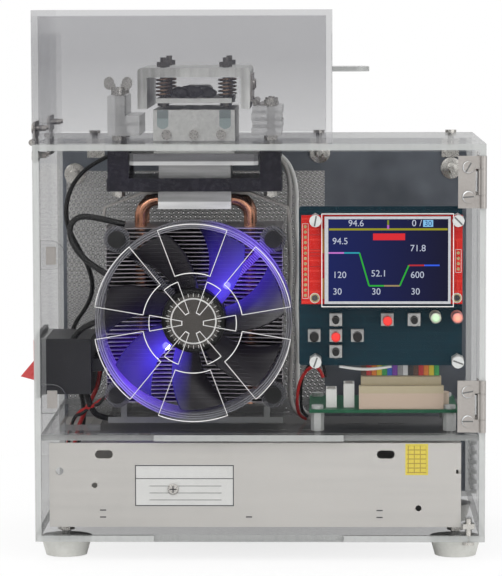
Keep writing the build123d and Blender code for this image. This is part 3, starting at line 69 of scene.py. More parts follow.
class Flow:
    # a socket that takes part in arithmetic
    def __init__(self, tree, socket):
        self.tree = tree
        self.socket = socket

    def maths(self, kind, *values):
        node = self.tree.nodes.new("ShaderNodeMath")
        node.operation = kind
        for place, value in enumerate(values):
            if isinstance(value, Flow):
                self.tree.links.new(value.socket, node.inputs[place])
            else:
                node.inputs[place].default_value = value
        return Flow(self.tree, node.outputs[0])

    def __add__(self, other):
        return self.maths("ADD", self, other)

    def __radd__(self, other):
        return self.maths("ADD", other, self)

    def __sub__(self, other):
        return self.maths("SUBTRACT", self, other)

    def __rsub__(self, other):
        return self.maths("SUBTRACT", other, self)

    def __mul__(self, other):
        return self.maths("MULTIPLY", self, other)

    def __rmul__(self, other):
        return self.maths("MULTIPLY", other, self)

    def __truediv__(self, other):
        return self.maths("DIVIDE", self, other)

    def __gt__(self, other):
        return self.maths("GREATER_THAN", self, other)

    def __lt__(self, other):
        return self.maths("LESS_THAN", self, other)

    def __abs__(self):
        return self.maths("ABSOLUTE", self)

    def cycle(self, length):
        return self.maths("FLOORED_MODULO", self, length)

    def root(self):
        return self.maths("SQRT", self)

    def clamp(self):
        return self.maths("MINIMUM", self.maths("MAXIMUM", self, 0.0), 1.0)


socketNames = {"base": "Base Color", "rough": "Roughness", "metal": "Metallic", "normal": "Normal",
               "alpha": "Alpha", "glow": "Emission Color", "strength": "Emission Strength",
               "gloss": "Specular IOR Level", "coat": "Coat Weight"}


class Finish:
    # one material: its shader, and a method that adds any node
    def __init__(self, name):
        self.material = bpy.data.materials.new(name)
        self.material.use_nodes = True
        self.tree = self.material.node_tree
        self.shader = self.tree.nodes["Principled BSDF"]

    def add(self, kind, settings=None, inputs=None, output=0):
        node = self.tree.nodes.new(kind)
        for key, value in (settings or {}).items():
            if key == "stops":
                ramp = node.color_ramp
                while len(ramp.elements) < len(value):
                    ramp.elements.new(0.5)
                for stop, (place, colour) in zip(ramp.elements, value):
                    stop.position = place
                    stop.color = (*colour, 1.0)
            elif key == "steps":
                node.color_ramp.interpolation = value
            else:
                setattr(node, key, value)
        for key, value in (inputs or {}).items():
            self.put(node.inputs[key], value)
        return Flow(self.tree, node.outputs[output])

    def put(self, socket, value):
        if isinstance(value, Flow):
            self.tree.links.new(value.socket, socket)
        elif socket.type == "RGBA":
            # a plain number is a grey
            colour = value if isinstance(value, tuple) else (value,) * 3
            socket.default_value = (*colour, 1.0)
        else:
            socket.default_value = value

    def set(self, **values):
        for key, value in values.items():
            self.put(self.shader.inputs[socketNames[key]], value)
        return self.material

    def coords(self):
        return self.add("ShaderNodeTexCoord", output="Object")

    def place(self, stretch=(1, 1, 1), turn=(0, 0, 0)):
        coords = self.coords()
        return self.add("ShaderNodeMapping", inputs={"Vector": coords, "Scale": stretch, "Rotation": turn})

    def noise(self, scale, detail=3.0, stretch=(1, 1, 1), turn=(0, 0, 0)):
        return self.add("ShaderNodeTexNoise", inputs={"Vector": self.place(stretch, turn), "Scale": scale,
                                                      "Detail": detail})

    def mix(self, share, first, second):
        node = self.tree.nodes.new("ShaderNodeMix")
        node.data_type = "RGBA"
        self.put(node.inputs[0], share)
        self.put(node.inputs[6], first)
        self.put(node.inputs[7], second)
        return Flow(self.tree, node.outputs[2])

    def bump(self, height, depth, strength=1.0):
        return self.add("ShaderNodeBump", inputs={"Strength": strength, "Distance": depth, "Height": height})

    def along(self, axis):
        return self.part(self.coords(), axis)

    def part(self, vector, axis):
        return self.add("ShaderNodeSeparateXYZ", inputs={"Vector": vector}, output=axis)


def surface(name, look):
    # a moulded, milled, painted or rubber finish from one dictionary of values
    finish = Finish(name)
    grain = finish.noise(look.get("grain", 900), 4.0, look.get("stretch", (1, 1, 1)),
                         look.get("turn", (0, 0, 0)))
    cloud = finish.noise(look.get("cloud", 45), 2.0)
    tone = (cloud * 0.6 + grain * 0.4 - 0.5) * look.get("contrast", 1.6) + 0.5
    finish.set(base=finish.mix(tone.clamp(), look["dark"], look["light"]),
               rough=(look["rough"] + (grain - 0.5) * look.get("roughSpread", 0.2)).clamp(),
               metal=look.get("metal", 0.0),
               normal=finish.bump(grain, look.get("depth", 0.00002), look.get("strength", 0.5)),
               gloss=look.get("gloss", 0.5))
    if "coat" in look:
        finish.set(coat=look["coat"])
    if "alpha" in look:
        finish.set(alpha=look["alpha"])
    return finish.material


acrylicLook = {"face": (0.10, 0.10, 0.11), "edge": (0.42, 0.43, 0.42), "faceAlpha": 0.006, "grazing": 0.45,
               "edgeAlpha": 0.72, "smudge": 0.012, "rough": 0.05}
coverLook = {"shadeTint": (0.06, 0.06, 0.078), "topShadeAlpha": 0.215, "lowShadeAlpha": 0.135, "grazing": 0.35,
             "rough": 0.06}


def acrylic(name, axis, look=acrylicLook):
    # a clear sheet: almost nothing across its face, pale and frosted along its laser-cut edges
    finish = Finish(name)
    normal = finish.add("ShaderNodeTexCoord", output="Normal")
    edge = (1.0 - abs(finish.part(normal, axis))) > 0.5
    streaks = finish.noise(520, 3.0, (1, 1, 0.08))
    smear = finish.noise(18, 3.0)
    facing = finish.add("ShaderNodeLayerWeight", inputs={"Blend": 0.33}, output="Fresnel")
    face = look["faceAlpha"] + facing * look["grazing"] + ((smear - 0.5) * look["smudge"] * 2.0).clamp()
    finish.set(alpha=(face + edge * (look["edgeAlpha"] - face)).clamp(),
               base=finish.mix(edge * (0.75 + streaks * 0.5), look["face"], look["edge"]),
               rough=look["rough"] + (smear - 0.45).clamp() * 0.3, normal=finish.bump(streaks, 0.00002, 0.25),
               gloss=0.4)
    finish.material.surface_render_method = "BLENDED"
    return finish.material


def coverAcrylic(look=coverLook):
    # the hood: clear, with painted shade that deepens toward its top, and faint smears
    finish = Finish("acrylic_cover")
    low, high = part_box("cover_box")
    rise = ((finish.along("Z") - low.z) / (high.z - low.z)).clamp()
    smear = finish.noise(14, 3.0)
    facing = finish.add("ShaderNodeLayerWeight", inputs={"Blend": 0.33}, output="Fresnel")
    # painted shade: alpha over a dark colour rises toward the top, darkening what is seen through the hood
    # there
    depth = (rise * 1.6).clamp() * (look["topShadeAlpha"] - look["lowShadeAlpha"]) + look["lowShadeAlpha"]
    finish.set(alpha=(depth * (0.92 + smear * 0.16) + facing * look["grazing"]).clamp(),
               base=finish.mix(smear * 0.3, look["shadeTint"], (0.16, 0.16, 0.18)),
               rough=look["rough"] + smear * 0.08, coat=0.3)
    finish.material.surface_render_method = "BLENDED"
    return finish.material


def paint(material, *names):
    for name in names:
        piece = nodes[name] if name in nodes else bpy.data.objects[name]
        piece.data.materials.clear()
        piece.data.materials.append(material)


looks = {
    "channelScratched": {"dark": (0.36, 0.36, 0.34), "light": (1.0, 1.0, 0.97), "rough": 0.36, "metal": 0.8,
                         "grain": 420, "stretch": (1, 0.2, 0.05), "turn": (0.0, 0.7, 0.3), "depth": 0.00006,
                         "contrast": 2.4},
    "heaterGrey": {"dark": (0.52, 0.52, 0.50), "light": (0.80, 0.80, 0.77), "rough": 0.5, "metal": 0.5,
                   "grain": 600},
    "postAcrylic": {"dark": (0.66, 0.66, 0.65), "light": (0.90, 0.90, 0.88), "rough": 0.3, "grain": 500,
                    "alpha": 0.5, "stretch": (1, 1, 0.1)},
    "bracketSteel": {"dark": (0.26, 0.24, 0.225), "light": (0.42, 0.40, 0.38), "rough": 0.38, "metal": 0.8,
                     "grain": 900, "contrast": 1.4, "cloud": 22},
    "fastener": {"dark": (0.34, 0.33, 0.31), "light": (0.66, 0.64, 0.60), "rough": 0.28, "metal": 0.95,
                 "grain": 1800},
    "darkFastener": {"dark": (0.05, 0.045, 0.04), "light": (0.17, 0.16, 0.15), "rough": 0.32, "metal": 0.9,
                     "grain": 1600},
    "dullSheet": {"dark": (0.44, 0.43, 0.41), "light": (0.62, 0.60, 0.57), "rough": 0.5, "metal": 0.55,
                  "grain": 260, "stretch": (0.05, 1, 1), "contrast": 1.3, "cloud": 9},
    "rearPlate": {"dark": (0.060, 0.068, 0.082), "light": (0.19, 0.21, 0.24), "rough": 0.42, "metal": 0.55,
                  "grain": 90, "contrast": 1.9, "cloud": 24},
    "copperPipe": {"dark": (0.26, 0.10, 0.055), "light": (0.62, 0.33, 0.22), "rough": 0.24, "metal": 0.95,
                   "grain": 240, "contrast": 2.0},
    "springWire": {"dark": (0.20, 0.11, 0.065), "light": (0.50, 0.34, 0.23), "rough": 0.35, "metal": 0.85},
    "blackGloss": {"dark": (0.004, 0.004, 0.007), "light": (0.014, 0.012, 0.024), "rough": 0.26, "grain": 500,
                   "gloss": 0.28, "cloud": 30, "contrast": 2.4, "roughSpread": 0.3},
    "blackMoulding": {"dark": (0.008, 0.008, 0.010), "light": (0.026, 0.026, 0.030), "rough": 0.42,
                      "grain": 2200, "gloss": 0.25, "depth": 0.00003},
    "softBlack": {"dark": 0.008, "light": 0.034, "rough": 0.6, "grain": 900,
                  "gloss": 0.2},
    "resin": {"dark": 0.002, "light": (0.012, 0.011, 0.010), "rough": 0.3, "grain": 300,
              "gloss": 0.3, "depth": 0.0003, "strength": 0.8},
    "footRubber": {"dark": (0.56, 0.56, 0.52), "light": (0.74, 0.74, 0.71), "rough": 0.8, "grain": 700,
                   "cloud": 120},
    "nylon": {"dark": (0.38, 0.39, 0.38), "light": (0.54, 0.55, 0.54), "rough": 0.4, "grain": 700,
              "cloud": 200},
    "ceramic": {"dark": (0.72, 0.72, 0.70), "light": (0.86, 0.86, 0.84), "rough": 0.7, "grain": 1500},
    "switchMetal": {"dark": 0.22, "light": (0.60, 0.60, 0.58), "rough": 0.35, "metal": 0.75,
                    "grain": 1200},
    "capBlack": {"dark": 0.004, "light": 0.016, "rough": 0.4, "gloss": 0.25},
    "capRed": {"dark": (0.62, 0.012, 0.010), "light": (0.84, 0.04, 0.03), "rough": 0.35},
    "rockerRed": {"dark": (0.44, 0.012, 0.012), "light": (0.60, 0.03, 0.03), "rough": 0.3, "coat": 0.5},
    "pinGold": {"dark": (0.30, 0.22, 0.10), "light": (0.62, 0.50, 0.26), "rough": 0.3, "metal": 0.9},
    "trackRed": {"dark": (0.30, 0.008, 0.006), "light": (0.42, 0.012, 0.010), "rough": 0.4},
    "flexOrange": {"dark": (0.50, 0.16, 0.01), "light": (0.72, 0.30, 0.04), "rough": 0.35},
    "slotShade": {"dark": 0.06, "light": 0.13, "rough": 0.6},
    "paleScrew": {"dark": (0.46, 0.47, 0.48), "light": (0.70, 0.71, 0.72), "rough": 0.3, "metal": 0.7,
                  "grain": 900},
    "cutEdge": {"dark": (0.55, 0.54, 0.53), "light": (0.84, 0.83, 0.82), "rough": 0.5, "grain": 1200},
    "silkWhite": {"dark": (0.62, 0.62, 0.60), "light": (0.80, 0.80, 0.78), "rough": 0.6},
    "labelInkAndRecessShade": {"dark": (0.03, 0.03, 0.035), "light": (0.07, 0.07, 0.075), "rough": 0.6},
    "labelFilm": {"dark": (0.66, 0.66, 0.64), "light": (0.76, 0.76, 0.74), "rough": 0.45, "grain": 500,
                  "cloud": 60},
    "wireBlack": {"dark": 0.004, "light": 0.016, "rough": 0.5, "gloss": 0.25},
    "wireRed": {"dark": (0.42, 0.008, 0.008), "light": (0.62, 0.02, 0.02), "rough": 0.45},
    "wireWhite": {"dark": (0.66, 0.66, 0.64), "light": (0.80, 0.80, 0.78), "rough": 0.45},
    "wireGrey": {"dark": (0.30, 0.29, 0.28), "light": (0.46, 0.45, 0.43), "rough": 0.5},
}
made = {name: surface(name, look) for name, look in looks.items()}


def circuitBoard(name, base, track, pitch):
    # solder mask with faint parallel tracks and vias
    finish = Finish(name)
    x = finish.along("X")
    y = finish.along("Y") + finish.along("Z")
    cells = finish.add("ShaderNodeTexBrick", {"offset": 0.37, "squash": 1.0},
                       {"Vector": finish.place((1, 1, 1), (math.pi / 2, 0, 0)), "Scale": 1.0,
                        "Mortar Size": pitch * 0.09,
                        "Brick Width": pitch * 5, "Row Height": pitch, "Color1": (0, 0, 0),
                        "Color2": (0, 0, 0), "Mortar": (1, 1, 1)})
    fine = finish.noise(1400, 2.0)
    lines = ((x + y * 0.5).cycle(pitch) < pitch * 0.18) * 0.5
    share = (cells * 0.6 + lines * 0.35 + (fine - 0.5) * 0.3).clamp()
    return finish.set(base=finish.mix(share, base, track), rough=0.3 + fine * 0.15,
                      normal=finish.bump(share, 0.00004, 0.5), gloss=0.12)


tealBoard = circuitBoard("tealBoard", (0.002, 0.024, 0.038), (0.006, 0.046, 0.064), 0.0042)
redBoard = circuitBoard("redBoard", (0.66, 0.020, 0.016), (0.80, 0.06, 0.04), 0.0050)
greenBoard = circuitBoard("greenBoard", (0.016, 0.10, 0.05), (0.05, 0.18, 0.10), 0.0036)

# brown, red, orange, yellow, green, blue, violet, grey, white, black, and the first five again
tenColours = [
    (0.10, 0.04, 0.02), (0.55, 0.02, 0.02), (0.80, 0.22, 0.02), (0.75, 0.60, 0.03), (0.03, 0.35, 0.08),
    (0.02, 0.10, 0.50), (0.20, 0.04, 0.40), (0.30, 0.30, 0.30), (0.75, 0.75, 0.75), (0.01, 0.01, 0.01),
]
ribbonColours = tenColours + tenColours[:5]


def ribbonStripes():
    # coloured conductors side by side, each with its own crown, with painted shade in the grooves between
    # them
    finish = Finish("ribbonStripes")
    low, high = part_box("ribbon_cable")
    along = (finish.along("X") - low.x - 0.001) / (high.x - low.x - 0.002)
    count = len(ribbonColours)
    stops = [(index / count, colour) for index, colour in enumerate(ribbonColours)]
    colour = finish.add("ShaderNodeValToRGB", {"steps": "CONSTANT", "stops": stops}, {"Fac": along})
    crown = abs((along * count).cycle(1.0) - 0.5)
    # toward each conductor's edge the colour runs to near black: painted shade in the grooves
    return finish.set(base=finish.mix((crown * 2 - 0.75).clamp() * 2, colour, 0.02), rough=0.45,
                      normal=finish.bump(1.0 - crown * crown, 0.0006, 0.8))


fanPlan = {"centre": (-32.0, 115.2), "hub": 15.7, "disc": 12.9, "glowTurn": 46.0, "glowHalf": 36.0,
           "violet": (0.15, 0.045, 1.0), "blue": (0.055, 0.060, 1.0)}


def fanPlace(finish):
    # radius in millimetres and angle round the fan's own axis
    middle = at(fanPlan["centre"][0], 0, fanPlan["centre"][1])
    dx = (finish.along("X") - middle.x) * 1000
    dz = (finish.along("Z") - middle.z) * 1000
    radius = (dx * dx + dz * dz).root()
    return radius, dz.maths("ARCTAN2", dz, dx)


def glowShare(angle):
    # the two sectors that the fan's lamps light, opposite each other, fading at their sides
    turned = (angle - math.radians(fanPlan["glowTurn"])).cycle(math.pi)
    aside = turned.maths("MINIMUM", turned, math.pi - turned)
    return (1.15 - aside / math.radians(fanPlan["glowHalf"])).clamp()


def bladeFinish():
    # smoked blades lit violet near the lamps, and a bronze-grey hub
    finish = Finish("bladeFinish")
    radius, angle = fanPlace(finish)
    hub = radius < fanPlan["hub"]
    cloud = finish.noise(60, 2.0)
    fine = finish.noise(1500, 3.0)
    lit = glowShare(angle) * (1.0 - hub) * ((56.0 - radius) / 34.0).clamp() * (0.35 + cloud * 0.9)
    blade = finish.mix(cloud, (0.006, 0.005, 0.007), (0.030, 0.027, 0.033))
    disc = radius < fanPlan["disc"]
    cup = finish.mix(disc, 0.006,
                     finish.mix(fine, (0.045, 0.041, 0.037), (0.10, 0.092, 0.084)))
    return finish.set(base=finish.mix(hub, blade, cup), metal=hub * 0.5,
                      rough=0.20 + fine * 0.12 + hub * 0.18, alpha=0.80 + hub * 0.20,
                      glow=finish.mix(lit.clamp(), (0, 0, 0),
                                      finish.mix(cloud, fanPlan["violet"], fanPlan["blue"])),
                      strength=1.0, gloss=0.3)


def ringFinish():
    # clear dark plastic with fine turned ridges, each lightened as a painted highlight, glowing in the same
    # sectors
    finish = Finish("ringFinish")
    radius, angle = fanPlace(finish)
    ridge = abs(radius.cycle(1.1) - 0.55) / 0.55
    cloud = finish.noise(70, 2.0)
    lit = glowShare(angle) * (0.35 + ridge * 0.65) * ((51.5 - radius) / 4.0).clamp()
    # the lighter tone on each ridge is a painted highlight
    return finish.set(base=finish.mix(ridge, (0.016, 0.016, 0.020), (0.30, 0.30, 0.33)),
                      rough=0.16 + cloud * 0.08, alpha=(0.40 + ridge * 0.30 + lit * 0.15).clamp(),
                      normal=finish.bump(ridge, 0.0002, 0.6),
                      glow=finish.mix(lit.clamp(), (0, 0, 0), fanPlan["violet"]), strength=0.8, gloss=0.3)


def finFinish():
    # thin nickel-grey fins that catch the fan's light on their front edges
    finish = Finish("finFinish")
    radius, angle = fanPlace(finish)
    low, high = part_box("fin_stack")
    near = ((low.y + 0.014 - finish.along("Y")) / 0.014).clamp()
    brush = finish.noise(350, 3.0, (0.08, 1, 1))
    lit = glowShare(angle) * near * ((56.0 - radius) / 24.0).clamp()
    return finish.set(base=finish.mix(brush, (0.26, 0.245, 0.25), (0.56, 0.53, 0.55)), metal=0.85,
                      rough=0.30 + brush * 0.15, normal=finish.bump(brush, 0.00003, 0.5),
                      glow=finish.mix(lit.clamp(), (0, 0, 0), fanPlan["violet"]), strength=0.45)


def meshFinish(plan, x0, z0):
    # bright ridges where the strands cross, painted shade where they slope into each opening
    finish = Finish("meshFinish")
    start = at(x0, 0, z0)
    across = (finish.along("X") - start.x) / (plan["pitchX"] / 1000)
    up = (finish.along("Z") - start.z) / (plan["pitchZ"] / 1000)
    row = up - up.cycle(1.0)
    du = abs((across - row.cycle(2.0) * 0.5).cycle(1.0) - 0.5) * 2.0
    dw = abs(up.cycle(1.0) - 0.5) * 2.0
    ridge = ((du + dw - 0.62) * 5.0).clamp()
    cloud = finish.noise(22, 3.0)
    fine = finish.noise(900, 2.0)
    bright = finish.mix(cloud, (0.30, 0.30, 0.31), (0.66, 0.65, 0.63))
    # the near-black mix inside each ridge is painted shade on the slopes into the openings
    return finish.set(base=finish.mix(ridge, finish.mix(fine, (0.03, 0.03, 0.034), (0.09, 0.09, 0.095)),
                                      bright),
                      metal=0.55, rough=0.34 + fine * 0.16)


blockSeats = {"aside": 15.3, "half": 2.8, "reach": 9.4, "cap": 4.2, "round": 1.6, "skin": 0.4}


def blockFinish():
    # brushed block with the seats of its pressure screws in the front face's upper corners, painted on the
    # flat face as teal-grey painted shade, darker in their upper part
    finish = Finish("blockFinish")
    low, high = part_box("sample_block")
    middle = (low.x + high.x) / 2
    plan = {key: value / 1000 for key, value in blockSeats.items()}
    aside = abs(abs(finish.along("X") - middle) - plan["aside"])
    drop = high.z - finish.along("Z")
    front = finish.along("Y") < low.y + plan["skin"]
    share = aside / plan["half"]
    seat = (drop + share * share * plan["round"] < plan["reach"]) * (aside < plan["half"]) * front
    cap = seat * (drop < plan["cap"])
    brush = finish.noise(620, 3.0, (1, 0.06, 1), (0.4, 0.0, 0.5))
    cloud = finish.noise(60, 2.0)
    metal = finish.mix((brush * 0.7 + cloud * 0.5 - 0.1).clamp(), (0.46, 0.46, 0.44), (0.86, 0.86, 0.83))
    # the seats' recesses are not modelled: their teal-grey tone is painted shade, darker again toward their
    # top
    seatShadeLow = finish.mix(cloud, (0.30, 0.38, 0.37), (0.46, 0.53, 0.52))
    seatShadeTop = finish.mix(cloud, (0.16, 0.20, 0.20), (0.34, 0.38, 0.38))
    seatShade = finish.mix(cap, seatShadeLow, seatShadeTop)
    return finish.set(base=finish.mix(seat, metal, seatShade), metal=0.7 - seat * 0.5, rough=0.34 + brush * 0.16,
                      normal=finish.bump(brush - seat * 2.0, 0.00005, 0.5))


def strippedMetal(name, node, look):
    # machined metal, dull above and bright along the strip at its foot
    finish = Finish(name)
    low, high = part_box(node)
    brush = finish.noise(320, 3.0, (0.08, 1, 1))
    foot = 1.0 - ((finish.along("Z") - low.z - look["strip"] / 1000) * 2500).clamp()
    dull = finish.mix(brush, look["dark"], look["light"])
    return finish.set(base=finish.mix(foot, dull, finish.mix(brush, look["light"], (0.98, 0.98, 0.97))),
                      metal=0.8, rough=0.26 + brush * 0.2, normal=finish.bump(brush, 0.00003, 0.5))


def boardPartsFinish():
    # white sockets at the left of the board, the long beige header at its right
    finish = Finish("boardPartsFinish")
    low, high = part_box("board_parts")
    header = finish.along("X") > high.x - 0.0462
    upper = finish.along("Z") > (low.z + high.z) / 2
    fine = finish.noise(1400, 3.0)
    beige = finish.mix(upper, (0.50, 0.37, 0.28), (0.42, 0.35, 0.21))
    return finish.set(base=finish.mix(header, (0.74, 0.74, 0.71),
                                      finish.mix(fine * 0.4, beige, (0.62, 0.56, 0.46))),
                      rough=0.42 + fine * 0.12, normal=finish.bump(fine, 0.00002, 0.4))


print("materials made")

# CAD nodes and their finishes

plateAxis = {
    "bottom_plate": "Z", "top_plate": "Z", "shelf": "Z", "left_wall": "X", "right_wall": "X",
    "lower_front_panel": "Y", "door_panel": "Y", "cooler_support": "Z",
    "cover_tab": "Z", "magnet_catches": "Y",
}
for plateName, plateNormal in plateAxis.items():
    paint(acrylic("acrylic_" + plateName, plateNormal), plateName)
paint(coverAcrylic(), "cover_box")

paint(blockFinish(), "sample_block")
paint(made["channelScratched"], "clamp_channel")
paint(strippedMetal("spreaderMetal", "spreader_plate",
                    {"strip": 1.7, "dark": (0.10, 0.10, 0.105), "light": (0.24, 0.24, 0.25)}),
      "spreader_plate")
paint(strippedMetal("baseMetal", "cooler_base", {"strip": 3.4, "dark": 0.12, "light": 0.46}),
      "cooler_base")
paint(made["heaterGrey"], "heater_plate")
paint(made["postAcrylic"], "left_post", "right_post")
paint(made["bracketSteel"], "door_hinge_leaves", "fixed_hinge_leaves", "cover_hinge_leaves",
      "clamp_leaf", "clip_arms", "strike_plates")
paint(made["fastener"], "case_fixings", "hinge_pins", "cooler_screws", "thumb_nut")
paint(made["darkFastener"], "pressure_screws")
paint(made["nylon"], "display_fixings", "board_standoffs")
paint(made["footRubber"], "feet")
paint(made["copperPipe"], "heat_pipes")
paint(made["blackGloss"], "cooler_bracket")
paint(made["blackMoulding"], "mains_inlet")
paint(made["softBlack"], "fan_posts")
paint(made["ceramic"], "peltier_modules")
paint(made["dullSheet"], "power_supply")
paint(boardPartsFinish(), "board_parts")
paint(made["switchMetal"], "display_parts")
paint(made["rockerRed"], "rocker")
paint(bladeFinish(), "fan_rotor")
paint(ringFinish(), "fan_frame")
paint(tealBoard, "display_board")
paint(redBoard, "screen_board")
paint(greenBoard, "controller_board")
paint(ribbonStripes(), "ribbon_cable")
redCaps = (2, 6)
for number in range(1, 8):
    paint(made["capRed" if number in redCaps else "capBlack"], "button_%d" % number)


lampPlan = {"left": 84.6, "right": 95.0, "z": 117.6, "core": 1.5}


def lampLens():
    # whitish green lamp at the left, pink-red one at the right, each with its small lit core
    finish = Finish("lampLens")
    x = finish.along("X")
    side = x > at((lampPlan["left"] + lampPlan["right"]) / 2, 0, 0).x
    left, right = at(lampPlan["left"], 0, lampPlan["z"]), at(lampPlan["right"], 0, lampPlan["z"])
    dx = (x - left.x - side * (right.x - left.x)) * 1000
    dz = (finish.along("Z") - left.z) * 1000
    radius = (dx * dx + dz * dz).root()
    core = (1.25 - radius / lampPlan["core"] * 0.8).clamp()
    glow = finish.noise(500, 2.0)
    shell = finish.mix(side, (0.46, 0.48, 0.40), (0.62, 0.20, 0.18))
    return finish.set(base=finish.mix(glow * 0.2, shell, (0.70, 0.68, 0.62)),
                      glow=finish.mix(core, (0, 0, 0),
                                      finish.mix(side, (0.06, 0.62, 0.10), (0.95, 0.22, 0.05))),
                      strength=0.9, rough=0.25 + glow * 0.1, gloss=0.4)


paint(lampLens(), "indicator_lamps")


def panelFace():
    # the display's pale metal frame
    finish = Finish("panelFace")
    grain = finish.noise(900, 2.0)
    return finish.set(base=finish.mix(grain, (0.34, 0.35, 0.37), (0.50, 0.51, 0.53)), metal=0.4,
                      rough=0.3 + grain * 0.1, coat=0.3)


paint(panelFace(), "screen_panel")
print("CAD nodes painted")

# Modelling helpers

def clearChoice():
    bpy.ops.object.select_all(action="DESELECT")


def settle(name):
    # names the active piece and puts its place in its mesh
    piece = bpy.context.active_object
    piece.name = name
    piece.data.name = name
    bpy.ops.object.transform_apply(location=True, rotation=True, scale=True)
    return piece


def cuboid(name, low, high):
    clearChoice()
    low, high = Vector(low), Vector(high)
    middle = (low + high) / 2
    bpy.ops.mesh.primitive_cube_add(size=1, location=at(*middle), scale=(high - low) / 1000)
    return settle(name)


def bar(name, radius, start, end, sides=24):
    clearChoice()
    a, b = at(*start), at(*end)
    bpy.ops.mesh.primitive_cylinder_add(vertices=sides, radius=radius / 1000, depth=(b - a).length,
                                        location=(a + b) / 2,
                                        rotation=(b - a).to_track_quat("Z", "Y").to_euler())
    return settle(name)


def choose(piece):
    clearChoice()
    piece.select_set(True)
    bpy.context.view_layer.objects.active = piece
    return piece


def editAll(*steps):
    # runs each step on the whole active mesh in edit mode
    bpy.ops.object.mode_set(mode="EDIT")
    for step in steps:
        bpy.ops.mesh.select_all(action="SELECT")
        step()
    bpy.ops.object.mode_set(mode="OBJECT")


def turnAbout(turn, pivot):
    # turns the active mesh by radians round an axis along Y
    editAll(lambda: bpy.ops.transform.rotate(value=turn, orient_axis="Y", center_override=pivot))
    return bpy.context.active_object


def chooseFaces(piece, wanted):
    # leaves only the faces that pass the test selected, in edit mode
    bpy.ops.object.mode_set(mode="EDIT")
    bpy.ops.mesh.select_mode(type="FACE")
    bpy.ops.mesh.select_all(action="DESELECT")
    bpy.ops.object.mode_set(mode="OBJECT")
    for face in piece.data.polygons:
        face.select = wanted(face)
    bpy.ops.object.mode_set(mode="EDIT")


def soften(piece, width, segments=2):
    choose(piece)
    modifier = piece.modifiers.new("soften", "BEVEL")
    modifier.width = width / 1000
    modifier.segments = segments
    modifier.limit_method = "ANGLE"
    bpy.ops.object.modifier_apply(modifier=modifier.name)
    return piece


def smooth(piece, angle=35):
    choose(piece)
    bpy.ops.object.shade_smooth_by_angle(angle=math.radians(angle))
    return piece


def merge(name, pieces):
    clearChoice()
    for piece in pieces:
        piece.select_set(True)
    bpy.context.view_layer.objects.active = pieces[0]
    bpy.ops.object.join()
    joined = bpy.context.active_object
    joined.name = name
    joined.data.name = name
    return joined


def copyTo(piece, offsets):
    # copies with meshes of their own, moved by millimetres
    copies = []
    for offset in offsets:
        copy = piece.copy()
        copy.data = piece.data.copy()
        bpy.context.scene.collection.objects.link(copy)
        copy.data.transform(Matrix.Translation(Vector(offset) / 1000))
        copies.append(copy)
    return copies


def applyAll(piece):
    choose(piece)
    for modifier in list(piece.modifiers):
        bpy.ops.object.modifier_apply(modifier=modifier.name)
    return piece


def repeat(piece, name, count, step):
    # an applied array along one step in millimetres
    modifier = piece.modifiers.new(name, "ARRAY")
    modifier.use_relative_offset = False
    modifier.use_constant_offset = True
    modifier.constant_offset_displace = Vector(step) / 1000
    modifier.count = count
    return applyAll(piece)


def tube(name, points, radius, material, body):
    # a round wire on one smooth curve
    curve = bpy.data.curves.new(name, "CURVE")
    curve.dimensions = "3D"
    curve.bevel_depth = radius / 1000
    curve.bevel_resolution = 3
    curve.resolution_u = 8
    curve.use_fill_caps = True
    line = curve.splines.new("NURBS")
    line.points.add(len(points) - 1)
    for point, place in zip(line.points, points):
        point.co = (*at(*place), 1.0)
    line.order_u = 3
    line.use_endpoint_u = True
    piece = bpy.data.objects.new(name, curve)
    bpy.context.scene.collection.objects.link(piece)
    curve.materials.append(material)
    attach(piece, body)
    return piece


def finishPiece(piece, material, body):
    piece.data.materials.clear()
    piece.data.materials.append(material)
    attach(piece, body)
    return piece


# Cooler

finStack = {"count": 44, "thick": 0.45, "notch": 5.0, "notchShare": 0.36, "lip": 1.4, "lipWide": 0.3}


def makeFins():
    low, high = mm("fin_stack")
    middle = (low + high) / 2
    width = high.x - low.x
    notchHalf = width * finStack["notchShare"] / 2
    fin = cuboid("fin", (low.x, low.y, low.z), (high.x, high.y, low.z + finStack["thick"]))
    for x in (middle.x - notchHalf, middle.x + notchHalf):
        editAll(lambda: bpy.ops.mesh.bisect(plane_co=at(x, 0, 0), plane_no=(1, 0, 0)))
    front = at(0, low.y, 0).y
    back = at(0, high.y, 0).y
    centre = at(middle.x, 0, 0).x
    for vertex in fin.data.vertices:
        if abs(vertex.co.x - centre) < notchHalf / 1000 + 1e-5:
            if abs(vertex.co.y - front) < 1e-6:
                vertex.co.y += finStack["notch"] / 1000
            elif abs(vertex.co.y - back) < 1e-6:
                vertex.co.y -= finStack["notch"] / 1000
    wide = finStack["lipWide"]
    lips = [cuboid("lip", (x, low.y, low.z), (x + wide, high.y, low.z + finStack["lip"]))
            for x in (low.x, high.x - wide)]
    fin = merge("fin_stack_fine", [fin] + lips)
    repeat(fin, "stack", finStack["count"],
           (0, 0, (high.z - low.z - finStack["lip"]) / (finStack["count"] - 1)))
    finishPiece(fin, finFinish(), "case")
    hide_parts("fin_stack")


makeFins()
print("fins made")

# Rear sheet: expanded mesh at the left, plain mottled sheet at the right and along the top

rearSheet = {"left": 0.6, "right": 33.0, "low": 1.0, "top": 184.0, "pitchX": 2.5, "pitchZ": 2.1,
             "opening": 0.26, "relief": 0.22, "strand": 0.4, "inset": 0.2, "lap": 1.5, "room": 0.1}


